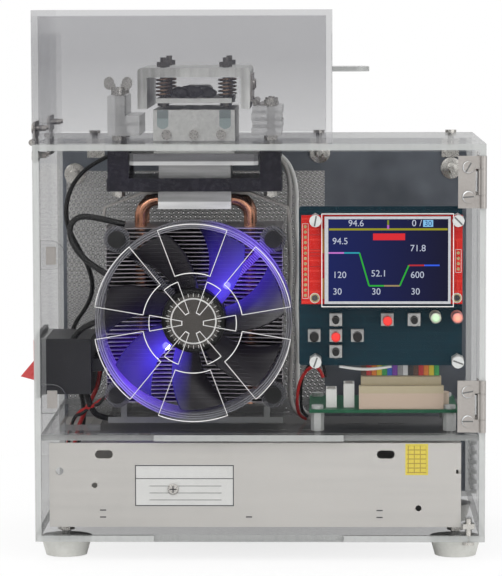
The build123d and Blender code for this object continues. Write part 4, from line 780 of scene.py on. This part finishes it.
def makeRearMesh():
    low, high = mm("rear_panel")
    plan = rearSheet
    x0, z0 = low.x + plan["left"], low.z + plan["low"]
    stepX, stepZ = plan["pitchX"], plan["pitchZ"]
    columns = int((plan["right"] - x0) / stepX)
    rows = int((plan["top"] - z0) / stepZ)
    y = (low.y + high.y) / 2
    cells = []
    for shift in (0.0, 0.5):
        middle = at(x0 + (0.5 + shift) * stepX, y, z0 + (0.5 + 2 * shift) * stepZ)
        clearChoice()
        bpy.ops.mesh.primitive_plane_add(size=1, location=middle, rotation=(math.pi / 2, 0, 0))
        bpy.context.active_object.scale = (stepX / 1000, stepZ / 1000, 1)
        cell = settle("rear_mesh_cell")
        bpy.ops.object.mode_set(mode="EDIT")
        bpy.ops.mesh.select_all(action="SELECT")
        bpy.ops.mesh.inset(thickness=plan["inset"] / 1000, depth=0)
        bpy.ops.mesh.delete(type="FACE")
        bpy.ops.object.mode_set(mode="OBJECT")
        # the four inner corners stand as a diamond, its upper point pressed back and its lower one forward
        halfX, halfZ = stepX / 2000 * plan["opening"], stepZ / 2000 * plan["opening"]
        for vertex in cell.data.vertices:
            dx, dz = vertex.co.x - middle.x, vertex.co.z - middle.z
            if abs(dx) < stepX / 2000 - 1e-5:
                up = dz > 0
                if (dx > 0) == up:
                    vertex.co = middle + Vector((halfX if up else -halfX, 0, 0))
                else:
                    relief = plan["relief"] / 1000
                    vertex.co = middle + Vector((0, relief if up else -relief, halfZ if up else -halfZ))
        cells.append(cell)
    mesh = merge("rear_mesh", cells)
    repeat(mesh, "across", columns, (stepX, 0, 0))
    repeat(mesh, "up", rows // 2, (0, 0, 2 * stepZ))
    wall = mesh.modifiers.new("strand", "SOLIDIFY")
    wall.thickness = plan["strand"] / 1000
    wall.offset = 0
    applyAll(mesh)
    finishPiece(mesh, meshFinish(plan, x0, z0), "case")
    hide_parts("rear_panel")
    top = z0 + (rows // 2) * 2 * stepZ
    strips = [((plan["right"] - plan["lap"], z0), (high.x, top)), ((low.x, top), (high.x, high.z)),
              ((low.x, low.z), (high.x, z0)), ((low.x, z0), (x0 + stepX / 2, top))]
    front, back = low.y + plan["room"], high.y - plan["room"]
    plates = [cuboid("rear_plate", (a[0], front, a[1]), (b[0], back, b[1])) for a, b in strips]
    finishPiece(merge("rear_plate", plates), made["rearPlate"], "case")


makeRearMesh()


rearWashers = {"places": ((-99.0, 179.5), (28.9, 190.6), (97.6, 182.3)), "washer": 5.6, "washerThick": 0.9,
               "nut": 3.1, "nutReach": 3.2, "thread": 1.5, "threadReach": 5.0, "threadFoot": 3.0}


def makeRearWashers():
    # wide washers and nuts that hold the rear sheet to its brackets
    plan = rearWashers
    inner = mm("rear_panel")[0].y
    seat = inner - plan["washerThick"]
    pieces = []
    for x, z in plan["places"]:
        pieces.append(soften(bar("rear_washer", plan["washer"], (x, seat, z), (x, inner, z), 40), 0.25))
        nut = bar("rear_nut", plan["nut"], (x, inner - plan["nutReach"], z), (x, seat, z), 6)
        pieces.append(soften(nut, 0.3))
        thread = ((x, inner - plan["threadReach"], z), (x, inner - plan["threadFoot"], z))
        pieces.append(bar("rear_thread", plan["thread"], *thread, 16))
    finishPiece(smooth(merge("rear_washers", pieces)), made["fastener"], "case")


makeRearWashers()
print("rear sheet made")

# Springs

springCoil = {"turns": 5, "wire": 0.45, "radius": 3.4, "sides": 8, "steps": 18, "travel": 3.0}


def makeSprings():
    low, high = mm("pressure_springs")
    coils = []
    radius = springCoil["radius"]
    rise = high.z - low.z - 2 * springCoil["wire"]
    reach = radius + springCoil["wire"]
    for x in (low.x + reach, high.x - reach):
        for y in (low.y + reach, high.y - reach):
            clearChoice()
            bpy.ops.mesh.primitive_circle_add(vertices=springCoil["sides"], radius=springCoil["wire"] / 1000,
                                              location=at(x, y, low.z + springCoil["wire"]),
                                              rotation=(math.pi / 2, 0, 0))
            coil = bpy.context.active_object
            bpy.ops.object.transform_apply(location=False, rotation=True, scale=True)
            editAll(lambda: bpy.ops.transform.translate(value=(radius / 1000, 0, 0)))
            turn = coil.modifiers.new("turn", "SCREW")
            turn.angle = 2 * math.pi
            turn.iterations = springCoil["turns"]
            turn.screw_offset = rise / 1000 / springCoil["turns"]
            turn.steps = springCoil["steps"]
            turn.render_steps = springCoil["steps"]
            turn.axis = "Z"
            bpy.ops.object.modifier_apply(modifier="turn")
            coil = settle("coil")
            editAll(lambda: bpy.ops.mesh.remove_doubles(threshold=0.00001),
                    lambda: bpy.ops.mesh.normals_make_consistent(inside=False))
            coils.append(coil)
    springs = smooth(merge("spring_coils", coils), 60)
    finishPiece(springs, made["springWire"], "clamp")
    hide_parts("pressure_springs")
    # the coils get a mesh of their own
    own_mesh(springs)


makeSprings()
print("springs made")

# Clamp filling: resin over the heater's joints

# place and half sizes of each lump
resinLumps = [
    (-39.5, -27.0, 224.6, 4.6, 3.4, 2.9), (-32.4, -28.2, 224.8, 4.4, 3.0, 2.9),
    (-25.6, -26.6, 224.4, 4.2, 3.2, 2.7), (-35.8, -20.0, 224.8, 4.8, 3.6, 3.0),
    (-28.0, -19.0, 224.8, 4.2, 3.4, 3.0),
]


def makeResin():
    rough = bpy.data.textures.new("resinLumps", "CLOUDS")
    rough.noise_scale = 0.003
    lumps = []
    for x, y, z, sx, sy, sz in resinLumps:
        clearChoice()
        bpy.ops.mesh.primitive_ico_sphere_add(subdivisions=4, radius=0.001, location=at(x, y, z),
                                              scale=(sx, sy, sz))
        lump = settle("resin")
        push = lump.modifiers.new("push", "DISPLACE")
        push.texture = rough
        push.texture_coords = "LOCAL"
        push.strength = 0.0016
        push.mid_level = 0.6
        lumps.append(applyAll(lump))
    finishPiece(smooth(merge("clamp_resin", lumps), 60), made["resin"], "heater")


makeResin()
print("clamp filled")

# Wires

wireRuns = {
    "supply": [
        (-80.6, -14.1, 87.2), (-81.6, -14.6, 77.6), (-86.6, -13.2, 69.0), (-91.6, -11.0, 58.5),
        (-94.4, -9.8, 47.0), (-96.0, -9.4, 37.0), (-96.2, -9.0, 28.2)],
    "module": [
        (-54.0, -6.0, 196.5), (-66.0, -5.6, 196.2), (-79.0, -6.0, 191.5), (-90.5, -8.0, 184.0),
        (-97.0, -8.6, 173.0), (-98.0, -7.6, 160.0), (-93.4, -5.0, 148.5), (-87.0, -1.0, 137.0),
        (-85.0, 4.0, 125.0), (-89.0, 11.4, 115.0), (-96.0, 18.4, 106.0), (-99.6, 21.0, 94.0),
        (-97.6, 20.0, 82.0), (-92.6, 16.6, 71.0), (-90.8, 13.4, 60.0), (-92.4, 11.4, 49.0),
        (-95.6, 10.8, 38.5), (-96.2, 10.4, 28.2)],
    "supplyShift": 8.2, "moduleShift": 3.6, "radius": 1.05,
}
innerCables = {
    "fan_sleeve": {"radius": 1.5, "finish": "wireBlack", "points": [
        (-66.5, -35.0, 160.4), (-72.0, -34.6, 161.6), (-80.0, -34.0, 163.4), (-88.5, -33.6, 164.6),
        (-93.6, -33.8, 160.4), (-93.4, -35.0, 153.4), (-88.6, -37.6, 145.6), (-80.6, -40.8, 139.6),
        (-75.2, -42.4, 136.6)]},
    "fan_lead": {"radius": 1.5, "finish": "wireBlack", "points": [
        (-80.6, -42.0, 113.0), (-86.4, -39.4, 110.4), (-92.4, -36.0, 105.0), (-94.2, -33.0, 96.0),
        (-91.4, -31.0, 86.0), (-86.2, -29.6, 76.0), (-84.0, -28.6, 68.0), (-80.0, -26.4, 63.6),
        (-72.0, -22.0, 62.6)]},
    "fan_supply_red": {"radius": 0.8, "finish": "wireRed", "points": [
        (-72.0, -33.0, 78.4), (-76.0, -32.0, 74.6), (-80.2, -30.8, 72.6), (-84.2, -29.4, 69.0),
        (-88.4, -27.8, 68.2), (-92.0, -26.8, 64.6), (-95.0, -26.2, 58.6), (-96.4, -26.0, 48.0),
        (-96.6, -26.0, 38.0), (-96.6, -26.0, 28.2)]},
    "fan_supply_black": {"radius": 0.8, "finish": "wireBlack", "points": [
        (-71.6, -31.2, 76.4), (-76.0, -31.6, 76.6), (-80.4, -32.4, 70.4), (-84.0, -27.6, 71.0),
        (-88.2, -29.6, 65.8), (-92.2, -29.4, 65.4), (-94.4, -29.0, 58.6), (-95.8, -29.4, 48.0),
        (-96.4, -31.4, 38.0), (-96.6, -34.4, 28.2)]},
    "sensor_cable_1": {"radius": 1.2, "finish": "wireGrey", "points": [
        (4.0, 6.0, 194.4), (10.6, 8.0, 191.0), (14.4, 10.0, 178.0), (13.2, 11.0, 160.0), (14.6, 11.0, 138.0),
        (13.4, 9.0, 116.0), (15.0, 6.0, 94.0), (13.6, 0.0, 76.0), (15.4, -8.0, 65.0), (21.0, -16.0, 62.4),
        (27.0, -22.0, 62.4)]},
    "sensor_cable_2": {"radius": 1.2, "finish": "wireWhite", "points": [
        (4.0, 11.0, 194.4), (11.6, 13.0, 191.6), (17.4, 14.4, 178.0), (17.0, 15.0, 160.0),
        (18.4, 14.0, 138.0), (16.6, 12.0, 116.0), (18.2, 10.0, 94.0), (17.4, 4.0, 76.0),
        (19.2, -4.0, 65.0), (24.6, -11.0, 62.4), (30.0, -16.0, 62.4)]},
    "display_lead": {"radius": 0.75, "finish": "wireWhite", "body": "front_door", "points": [
        (38.4, -57.4, 93.0), (43.0, -56.6, 92.0), (51.0, -56.0, 91.2), (59.0, -56.6, 92.0),
        (63.6, -57.4, 93.0)]},
    "board_supply_red": {"radius": 0.8, "finish": "wireRed", "points": [
        (30.6, -46.0, 86.0), (29.2, -45.0, 90.6), (24.4, -42.0, 91.4), (19.0, -38.0, 84.0),
        (17.6, -33.0, 73.0), (18.4, -26.0, 64.6), (22.0, -18.0, 62.0)]},
    "board_supply_black": {"radius": 0.8, "finish": "wireBlack", "points": [
        (31.8, -44.0, 86.0), (31.2, -42.6, 93.0), (25.8, -39.0, 94.0), (20.2, -35.4, 86.0),
        (19.4, -30.0, 74.0), (20.4, -23.0, 64.6), (24.4, -15.0, 62.0)]},
}


def makeWires():
    for name, shift, colours in (("supply", wireRuns["supplyShift"], ("wireRed", "wireBlack")),
                                 ("module", wireRuns["moduleShift"], ("wireBlack", "wireBlack"))):
        for index, colour in enumerate(colours):
            points = [(x, y + shift * index, z) for x, y, z in wireRuns[name]]
            run = "%s_wire_%d" % (name, index + 1)
            tube(run, points, wireRuns["radius"], made[colour], "case")
    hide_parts("wiring")
    for name, cable in innerCables.items():
        tube(name, cable["points"], cable["radius"], made[cable["finish"]], cable.get("body", "case"))


makeWires()
print("wires made")

# Display graphics

screenPlan = {"left": 33.1, "right": 90.5, "low": 125.0, "high": 165.2, "recess": 0.4}


def glowing(name, colour, strength=1.0, second=None, span=None):
    # a lit colour, or a run from one colour to the next along X
    finish = Finish(name)
    if second:
        share = ((finish.along("X") - at(span[0], 0, 0).x) / ((span[1] - span[0]) / 1000)).clamp()
        value = finish.mix(share, colour, second)
    else:
        grain = finish.noise(1500, 1.0)
        value = finish.mix(grain * 0.12, colour, tuple(part * 0.5 for part in colour))
    return finish.set(base=0.004, glow=value, strength=strength, rough=0.3, gloss=0.08)


def litStrip(name, x0, z0, x1, z1, thick, material, level):
    # a thin flat strip between two points on the glass
    a, b = Vector((x0, 0, z0)), Vector((x1, 0, z1))
    along = (b - a).normalized()
    across = Vector((-along.z, 0, along.x)) * thick / 2
    face = mm("screen_panel")[0].y + screenPlan["recess"] - level
    clearChoice()
    bpy.ops.mesh.primitive_plane_add(size=1, location=at(0, face, 0), rotation=(math.pi / 2, 0, 0))
    strip = settle(name)
    corners = [a - across, b - across, a + across, b + across]
    for vertex in strip.data.vertices:
        right = vertex.co.x > at(0, 0, 0).x
        up = vertex.co.z > 0
        corner = corners[(1 if right else 0) + (2 if up else 0)]
        vertex.co = at(corner.x, face, corner.z)
    return finishPiece(strip, material, "front_door")


# name, ends, thickness, colour and the height over the glass
screenStrips = (
    ("screen_rule", (33.5, 160.2), (90.1, 160.2), 1.0, (0.30, 0.28, 0.01), 0.10),
    ("screen_rule_cut", (61.7, 162.2), (61.7, 164.6), 0.9, (0.20, 0.24, 0.02), 0.10),
    ("screen_rule_foot", (61.7, 160.4), (61.7, 162.2), 1.0, (0.45, 0.12, 0.50), 0.12),
    ("screen_cycle_mark", (78.4, 163.0), (83.2, 163.0), 3.3, (0.22, 0.52, 0.80), 0.08),
)
screenTag = ("screen_tag", (54.5, 156.6), (69.8, 156.6), 3.2, (0.70, 0.02, 0.03), 0.08)
pink, teal, green = (0.52, 0.16, 0.55), (0.02, 0.30, 0.38), (0.02, 0.36, 0.03)
tan, red, blue = (0.30, 0.22, 0.10), (0.42, 0.02, 0.03), (0.03, 0.10, 0.72)
screenCurve = {
    "corners": ((32.9, 148.9), (40.6, 148.9), (48.0, 148.9), (52.6, 133.1), (59.8, 133.1), (67.3, 133.1),
                (71.6, 142.9), (79.0, 142.9), (86.3, 142.9)),
    "colours": (pink, teal, green, green, tan, green, red, blue), "thick": 0.75, "strength": 1.1,
    "level": 0.14,
}


def litLine(name, start, end, thick, colour, level, strength=1.0):
    litStrip(name, *start, *end, thick, glowing(name + "_light", colour, strength), level)


def makeScreen():
    left, right = screenPlan["left"], screenPlan["right"]
    middle = (screenPlan["low"] + screenPlan["high"]) / 2
    glow = glowing("screenBlue", (0.004, 0.010, 0.095), 1.0, (0.002, 0.002, 0.022), (left, right))
    litStrip("screen_glow", left, middle, right, middle, screenPlan["high"] - screenPlan["low"], glow, 0.02)
    for strip in screenStrips:
        litLine(*strip)
    plan = screenCurve
    spans = zip(plan["corners"], plan["corners"][1:], plan["colours"])
    for number, (start, end, colour) in enumerate(spans, 1):
        litLine("screen_curve_%d" % number, start, end, plan["thick"], colour, plan["level"],
                plan["strength"])
    litLine(*screenTag)


screenFigures = (
    ("94.5", 35.0, 153.1), ("120", 35.2, 136.9), ("30", 35.2, 128.9), ("52.1", 53.5, 137.6),
    ("30", 53.8, 128.9), ("71.8", 72.2, 149.7), ("600", 72.4, 136.9), ("30", 72.6, 128.9),
    ("94.6", 42.6, 161.7), ("0", 73.0, 161.7), ("/", 76.6, 161.7), ("30", 79.0, 161.8),
)


def makeNumbers():
    # plain figures only, as a timer or thermometer shows them
    white = glowing("screenWhite", (0.50, 0.54, 0.66))
    dark = glowing("screenDark", (0.02, 0.05, 0.20))
    face = mm("screen_panel")[0].y + screenPlan["recess"] - 0.16
    for number, (words, x, z) in enumerate(screenFigures, 1):
        small = number == len(screenFigures)
        clearChoice()
        bpy.ops.object.text_add(location=at(x, face, z), rotation=(math.pi / 2, 0, 0))
        label = bpy.context.active_object
        label.data.body = words
        label.data.size = 0.0036 if small else 0.0044
        bpy.ops.object.convert(target="MESH")
        finishPiece(settle("screen_figure_%d" % number), dark if small else white, "front_door")


makeScreen()
makeNumbers()

boardPads = {"pitch": 2.54, "ring": 0.80, "hole": 0.52, "leftX": 22.1, "rightX": 95.4, "middle": 144.7,
             "cornerX": (26.6, 94.8), "cornerZ": 126.9, "cornerRing": 2.1, "cornerHole": 1.5,
             "print": (2.45, 2.2)}
boardTracks = {"left": 24.2, "right": 29.8, "half": 0.16, "heights": (157.3, 150.2, 148.8, 147.2, 142.1)}
flexTabs = {"left": 30.0, "right": 31.2, "rise": 0.3, "spans": ((126.6, 136.4), (148.6, 160.2))}


def padRing(name, x, z, outer, inner, y, thick=0.12):
    # a flat plated ring round a hole
    ring = bar(name, outer, (x, y - thick, z), (x, y, z), 20)
    chooseFaces(ring, lambda face: face.normal.y < -0.9)
    bpy.ops.mesh.inset(thickness=(outer - inner) / 1000, depth=0)
    bpy.ops.mesh.extrude_region_move(TRANSFORM_OT_translate={"value": (0, thick * 0.9 / 1000, 0)})
    bpy.ops.object.mode_set(mode="OBJECT")
    return ring


def outlineFrame(name, x0, z0, x1, z1, wide, y, material, body):
    # four thin printed strips round a rectangle
    strips = [((x0, z0), (x1, z0 + wide)), ((x0, z1 - wide), (x1, z1)), ((x0, z0), (x0 + wide, z1)),
              ((x1 - wide, z0), (x1, z1))]
    bars = [cuboid(name, (a[0], y - 0.05, a[1]), (b[0], y, b[1])) for a, b in strips]
    return finishPiece(merge(name, bars), material, body)


def makeBoardPads():
    y = mm("screen_board")[0].y
    plan = boardPads
    first = padRing("pad", plan["leftX"], plan["middle"] - 6.5 * plan["pitch"], plan["ring"], plan["hole"], y)
    rows = copyTo(first, [(0, 0, plan["pitch"] * index) for index in range(1, 14)])
    across = plan["rightX"] - plan["leftX"]
    rows += copyTo(first, [(across, 0, plan["pitch"] * index) for index in range(5, 9)])
    z = plan["cornerZ"]
    corners = [padRing("pad", x, z, plan["cornerRing"], plan["cornerHole"], y) for x in plan["cornerX"]]
    finishPiece(merge("board_pads", [first] + rows + corners), made["pinGold"], "front_door")
    # the corner holes are drawn as near-black discs: painted shade in the holes
    holes = [bar("board_hole", plan["cornerHole"], (x, y - 0.14, z), (x, y - 0.02, z), 24)
             for x in plan["cornerX"]]
    finishPiece(merge("board_holes", holes), made["labelInkAndRecessShade"], "front_door")
    rings = [padRing("pad_print", x, z, *plan["print"], y) for x in plan["cornerX"]]
    finishPiece(merge("board_hole_print", rings), made["silkWhite"], "front_door")
    half = boardTracks["half"]
    tracks = [cuboid("track", (boardTracks["left"], y - 0.04, level - half),
                     (boardTracks["right"], y, level + half))
              for level in boardTracks["heights"]]
    finishPiece(merge("board_tracks", tracks), made["trackRed"], "front_door")
    flex = [cuboid("flex", (flexTabs["left"], y - flexTabs["rise"], foot), (flexTabs["right"], y, top))
            for foot, top in flexTabs["spans"]]
    finishPiece(merge("screen_flex", flex), made["flexOrange"], "front_door")
    for side, x, half in (("left", plan["leftX"], 7 * plan["pitch"] + 0.3), ("right", plan["rightX"], 5.6)):
        low, high = plan["middle"] - half, plan["middle"] + half
        outlineFrame("pad_outline_" + side, x - 1.5, low, x + 1.5, high, 0.22, y, made["silkWhite"],
                     "front_door")


makeBoardPads()
print("screen made")

# Supply label, sticker and small marks; the dark dashes are painted shade at the supply's louvres

supplyMarks = {"label": (-60.4, 25.8, -12.6, 45.8), "header": 39.2, "rules": (35.6, 32.2, 28.8),
               "sticker": (70.2, 41.0, 81.2, 56.2), "screw": (-42.0, 34.1, 2.7),
               "louvreShades": ((-76.0, 23.8), (-76.0, 20.4), (-5.3, 20.5), (57.8, 23.7), (57.8, 20.3))}


def stickerFinish():
    # yellow paper with a plain ruled grid
    finish = Finish("stickerFinish")
    x0, z0, x1, z1 = supplyMarks["sticker"]
    x = (finish.along("X") - at(x0, 0, 0).x) * 1000
    z = (finish.along("Z") - at(0, 0, z0).z) * 1000
    column = (x - 1.2).cycle(2.9) < 0.45
    row = (z - 1.0).cycle(2.2) < 0.5
    inside = (abs(x - (x1 - x0) / 2) < (x1 - x0) / 2 - 0.9) * (abs(z - (z1 - z0) / 2) < (z1 - z0) / 2 - 0.9)
    ink = (column + row).clamp() * inside
    fine = finish.noise(800, 3.0)
    paper = finish.mix(fine, (0.70, 0.56, 0.05), (0.84, 0.70, 0.12))
    return finish.set(base=finish.mix(ink * (0.45 + fine * 0.4), paper, (0.28, 0.16, 0.03)),
                      rough=0.5 + fine * 0.1)


def makeSupplyMarks():
    y = mm("power_supply")[0].y
    plan = supplyMarks
    x0, z0, x1, z1 = plan["label"]
    film = soften(cuboid("supply_label", (x0, y - 0.08, z0), (x1, y, z1)), 0.03)
    finishPiece(film, made["labelFilm"], "case")
    outlineFrame("supply_label_frame", x0, z0, x1, z1, 0.45, y - 0.08, made["labelInkAndRecessShade"], "case")
    bars = [cuboid("rule", (x0 + 0.4, y - 0.13, plan["header"] - 0.18),
                   (x1 - 0.4, y - 0.08, plan["header"] + 0.18))]
    for z in plan["rules"]:
        bars.append(cuboid("rule", (x0 + 7.0, y - 0.13, z - 0.12), (x1 - 6.0, y - 0.08, z + 0.12)))
    finishPiece(merge("supply_label_rules", bars), made["labelInkAndRecessShade"], "case")
    sx0, sz0, sx1, sz1 = plan["sticker"]
    sticker = soften(cuboid("supply_sticker", (sx0, y - 0.1, sz0), (sx1, y, sz1)), 0.04)
    finishPiece(sticker, stickerFinish(), "case")
    # dark dashes over the supply's louvre holes: painted shade
    louvreShades = [cuboid("louvre_shade", (x - 1.5, y - 0.06, z - 0.3), (x + 1.5, y, z + 0.3)) for x, z in plan["louvreShades"]]
    finishPiece(merge("supply_louvre_shades", louvreShades), made["labelInkAndRecessShade"], "case")
    x, z, radius = plan["screw"]
    head = soften(bar("supply_screw", radius, (x, y - 1.0, z), (x, y - 0.1, z), 32), 0.5, 3)
    # the head's cross recess is drawn as a dark cross: painted shade
    slot = cuboid("supply_screw_slot", (x - 1.7, y - 1.04, z - 0.3), (x + 1.7, y - 0.98, z + 0.3))
    slotAcross = cuboid("supply_screw_slot", (x - 0.3, y - 1.04, z - 1.7), (x + 0.3, y - 0.98, z + 1.7))
    finishPiece(smooth(head), made["fastener"], "case")
    finishPiece(merge("supply_screw_cross", [slot, slotAcross]), made["labelInkAndRecessShade"], "case")


makeSupplyMarks()
print("supply marked")

# Fan lights and hub ring

fanParts = {"ringInner": 10.5, "ringOuter": 11.2, "ticks": 32, "tickInner": 11.8,
            "tickOuter": 13.4, "tickHalf": 0.12, "tickThick": 0.25, "beads": (15.6, -14.2), "beadBack": 4.6,
            "beadRadius": 2.6, "beadScale": 0.7}


def makeHubRing():
    x, z = fanPlan["centre"]
    front = mm("fan_rotor")[0].y
    clearChoice()
    bpy.ops.mesh.primitive_cylinder_add(vertices=64, radius=fanParts["ringOuter"] / 1000, depth=0.0003,
                                        location=at(x, front - 0.1, z), rotation=(math.pi / 2, 0, 0),
                                        end_fill_type="NGON")
    ring = settle("hub_ring")
    chooseFaces(ring, lambda face: abs(face.normal.y) > 0.9)
    bpy.ops.mesh.inset(thickness=(fanParts["ringOuter"] - fanParts["ringInner"]) / 1000, depth=0)
    bpy.ops.mesh.delete(type="FACE")
    bpy.ops.object.mode_set(mode="OBJECT")
    ticks = []
    for index in range(fanParts["ticks"]):
        angle = 2 * math.pi * index / fanParts["ticks"]
        half = fanParts["tickHalf"]
        cuboid("tick", (x + fanParts["tickInner"], front - fanParts["tickThick"], z - half),
               (x + fanParts["tickOuter"], front, z + half))
        ticks.append(turnAbout(angle, at(x, front, z)))
    finishPiece(merge("hub_ring", [ring] + ticks), made["silkWhite"], "fan_rotor")


makeHubRing()

ventRims = {"outer": 47.6, "rib": 24.1, "inner": 21.0, "eye": 5.2, "outerHalf": 20.5, "innerHalf": 10.5,
            "wire": 0.24, "step": 3.0}


def ventRim(inner, outer, middle, half):
    # the pale cut edge round one opening of the door's vent
    x, z = fanPlan["centre"]
    y = mm("door_panel")[0].y + 0.1
    turns = [middle - half + index * 2 * half / math.ceil(2 * half / ventRims["step"])
             for index in range(math.ceil(2 * half / ventRims["step"]) + 1)]
    corners = [(outer, turn) for turn in turns] + [(inner, turn) for turn in reversed(turns)]
    curve = bpy.data.curves.new("vent_rim", "CURVE")
    curve.dimensions = "3D"
    curve.bevel_depth = ventRims["wire"] / 1000
    curve.bevel_resolution = 1
    line = curve.splines.new("POLY")
    line.points.add(len(corners) - 1)
    line.use_cyclic_u = True
    for point, (radius, turn) in zip(line.points, corners):
        point.co = (*at(x + radius * math.cos(math.radians(turn)), y,
                        z + radius * math.sin(math.radians(turn))), 1.0)
    rim = bpy.data.objects.new("vent_rim", curve)
    bpy.context.scene.collection.objects.link(rim)
    choose(rim)
    bpy.ops.object.convert(target="MESH")
    return bpy.context.active_object


def makeVentRims():
    plan = ventRims
    rims = []
    for index in range(6):
        rims.append(ventRim(plan["rib"], plan["outer"], 30 + 60 * index, plan["outerHalf"]))
        rims.append(ventRim(plan["eye"], plan["inner"], 60 * index, plan["innerHalf"]))
    finishPiece(merge("vent_rims", rims), made["cutEdge"], "front_door")


makeVentRims()


windowRim = {"room": 1.5, "wide": 0.4, "proud": 0.15, "depth": 0.3, "soft": 0.1}


def makeWindowRim():
    # the pale cut edge of the display's window
    low, high = mm("screen_panel")
    y = mm("door_panel")[0].y + 0.1
    plan = windowRim
    room, wide = plan["room"], plan["wide"]
    x0, x1, z0, z1 = low.x - room, high.x + room, low.z - room, high.z + room
    strips = [((x0, z0), (x1, z0 + wide)), ((x0, z1 - wide), (x1, z1)),
              ((x0, z0 + wide), (x0 + wide, z1 - wide)), ((x1 - wide, z0 + wide), (x1, z1 - wide))]
    bars = []
    for a, b in strips:
        edge = cuboid("window_rim", (a[0], y - plan["proud"], a[1]), (b[0], y + plan["depth"], b[1]))
        bars.append(soften(edge, plan["soft"]))
    finishPiece(merge("window_rim", bars), made["cutEdge"], "front_door")


makeWindowRim()

slottedHeads = {"nylon": ((26.9, 96.4, 70), (95.2, 96.4, -20), (26.9, 164.3, 80), (95.2, 164.3, -45)),
                "hinge": ((99.85, 67.96, 0), (99.85, 82.04, 10), (99.85, 175.76, 4), (99.85, 189.84, 60)),
                "nylonSlot": (5.0, 0.75), "hingeSlot": (5.2, 0.7), "leaf": 0.8, "head": 2.9, "headRise": 1.1,
                "slotLift": 0.07}


def turnedSlot(name, x, y, z, turn, length, wide, thick=0.12):
    cuboid(name, (x - length / 2, y - thick, z - wide / 2), (x + length / 2, y, z + wide / 2))
    return turnAbout(math.radians(turn), at(x, y, z))


def makeSlottedHeads():
    plan = slottedHeads
    front = mm("display_fixings")[0].y + plan["slotLift"]
    slots = [turnedSlot("nylon_slot", x, front, z, turn, *plan["nylonSlot"]) for x, z, turn in plan["nylon"]]
    finishPiece(merge("nylon_slots", slots), made["slotShade"], "front_door")
    face = mm("door_panel")[0].y - plan["leaf"]
    top = face - plan["headRise"]
    heads = []
    for x, z, turn in plan["hinge"]:
        heads.append(soften(bar("hinge_screw", plan["head"], (x, top, z), (x, face, z), 32), 0.5, 3))
    finishPiece(smooth(merge("hinge_screws", heads)), made["paleScrew"], "front_door")
    slots = [turnedSlot("hinge_slot", x, top + plan["slotLift"], z, turn, *plan["hingeSlot"])
             for x, z, turn in plan["hinge"]]
    finishPiece(merge("hinge_screw_slots", slots), made["slotShade"], "front_door")


makeSlottedHeads()


def makeFanLights():
    # small lit beads at the hub's edge behind the blades, upper right and lower left
    x, z = fanPlan["centre"]
    back = mm("fan_frame")[1].y
    blue = glowing("fanLight", (0.30, 0.30, 1.0), 24.0)
    for index, reach in enumerate(fanParts["beads"]):
        clearChoice()
        place = at(x + reach, back - fanParts["beadBack"], z + reach)
        bpy.ops.mesh.primitive_uv_sphere_add(segments=20, ring_count=12, radius=fanParts["beadRadius"] / 1000,
                                             location=place, scale=(fanParts["beadScale"],) * 3)
        finishPiece(smooth(settle("fan_light_%d" % (index + 1))), blue, "case")


makeFanLights()
print("fan dressed")

# Stage, light and camera

def makeStage():
    clearChoice()
    bpy.ops.mesh.primitive_plane_add(size=60, location=(0, 0, -0.0005))
    floor = settle("floor")
    finish = Finish("floorPaint")
    finish.set(base=0.86, rough=0.9)
    path = finish.tree.nodes.new("ShaderNodeLightPath")
    seen = Flow(finish.tree, path.outputs["Is Camera Ray"])
    white = finish.add("ShaderNodeEmission", inputs={"Color": (1, 1, 1), "Strength": 1.0})
    mixer = finish.tree.nodes.new("ShaderNodeMixShader")
    out = finish.tree.nodes["Material Output"]
    x, y = finish.along("X"), finish.along("Y")
    far = (x * x + y * y).root()
    share = seen * (0.78 + far * 0.7).clamp()
    finish.tree.links.new(share.socket, mixer.inputs[0])
    finish.tree.links.new(finish.shader.outputs[0], mixer.inputs[1])
    finish.tree.links.new(white.socket, mixer.inputs[2])
    finish.tree.links.new(mixer.outputs[0], out.inputs[0])
    floor.data.materials.append(finish.material)


def makeWorld():
    world = bpy.data.worlds.new("studio")
    bpy.context.scene.world = world
    world.use_nodes = True
    tree = world.node_tree
    back = tree.nodes["Background"]
    path = tree.nodes.new("ShaderNodeLightPath")
    seen = Flow(tree, path.outputs["Is Camera Ray"])
    through = Flow(tree, path.outputs["Is Transmission Ray"])
    gloss = Flow(tree, path.outputs["Is Glossy Ray"])
    level = 0.55 + (seen + through + gloss).clamp() * 0.45
    tree.links.new(level.socket, back.inputs["Strength"])
    back.inputs["Color"].default_value = (1, 1, 1, 1)


lamps = {
    "key": {"place": (-500, -900, 900), "size": 0.9, "power": 9.0},
    "fill": {"place": (700, -800, 500), "size": 1.0, "power": 5.0},
    "top": {"place": (0, 100, 1100), "size": 1.0, "power": 6.0},
}


def makeLamps():
    for name, lamp in lamps.items():
        light = bpy.data.lights.new(name, "AREA")
        light.size = lamp["size"]
        light.energy = lamp["power"]
        place = bpy.data.objects.new(name, light)
        bpy.context.scene.collection.objects.link(place)
        place.location = at(*lamp["place"])
        place.rotation_euler = (at(0, 0, 130) - place.location).to_track_quat("-Z", "Y").to_euler()


camera = {"x": 29.5, "distance": 1468.0, "z": 266.3, "pitch": 5.22, "yaw": 1.29, "roll": 0.16,
          "focal": 3078.0, "imageHeight": 576, "sensor": 24}


def makeCamera():
    lens = bpy.data.cameras.new("view")
    eye = bpy.data.objects.new("view", lens)
    bpy.context.scene.collection.objects.link(eye)
    eye.location = at(camera["x"], -caseSize["depth"] / 2 - camera["distance"], camera["z"])
    eye.rotation_mode = "XYZ"
    eye.rotation_euler = (math.radians(90 - camera["pitch"]), math.radians(camera["roll"]),
                          math.radians(camera["yaw"]))
    lens.sensor_fit = "VERTICAL"
    lens.sensor_height = camera["sensor"]
    lens.lens = camera["focal"] / camera["imageHeight"] * lens.sensor_height
    lens.clip_end = 100
    bpy.context.scene.camera = eye


makeStage()
makeWorld()
makeLamps()
makeCamera()
bpy.context.scene.view_settings.view_transform = "Standard"
print("stage set")

bpy.context.view_layer.update()
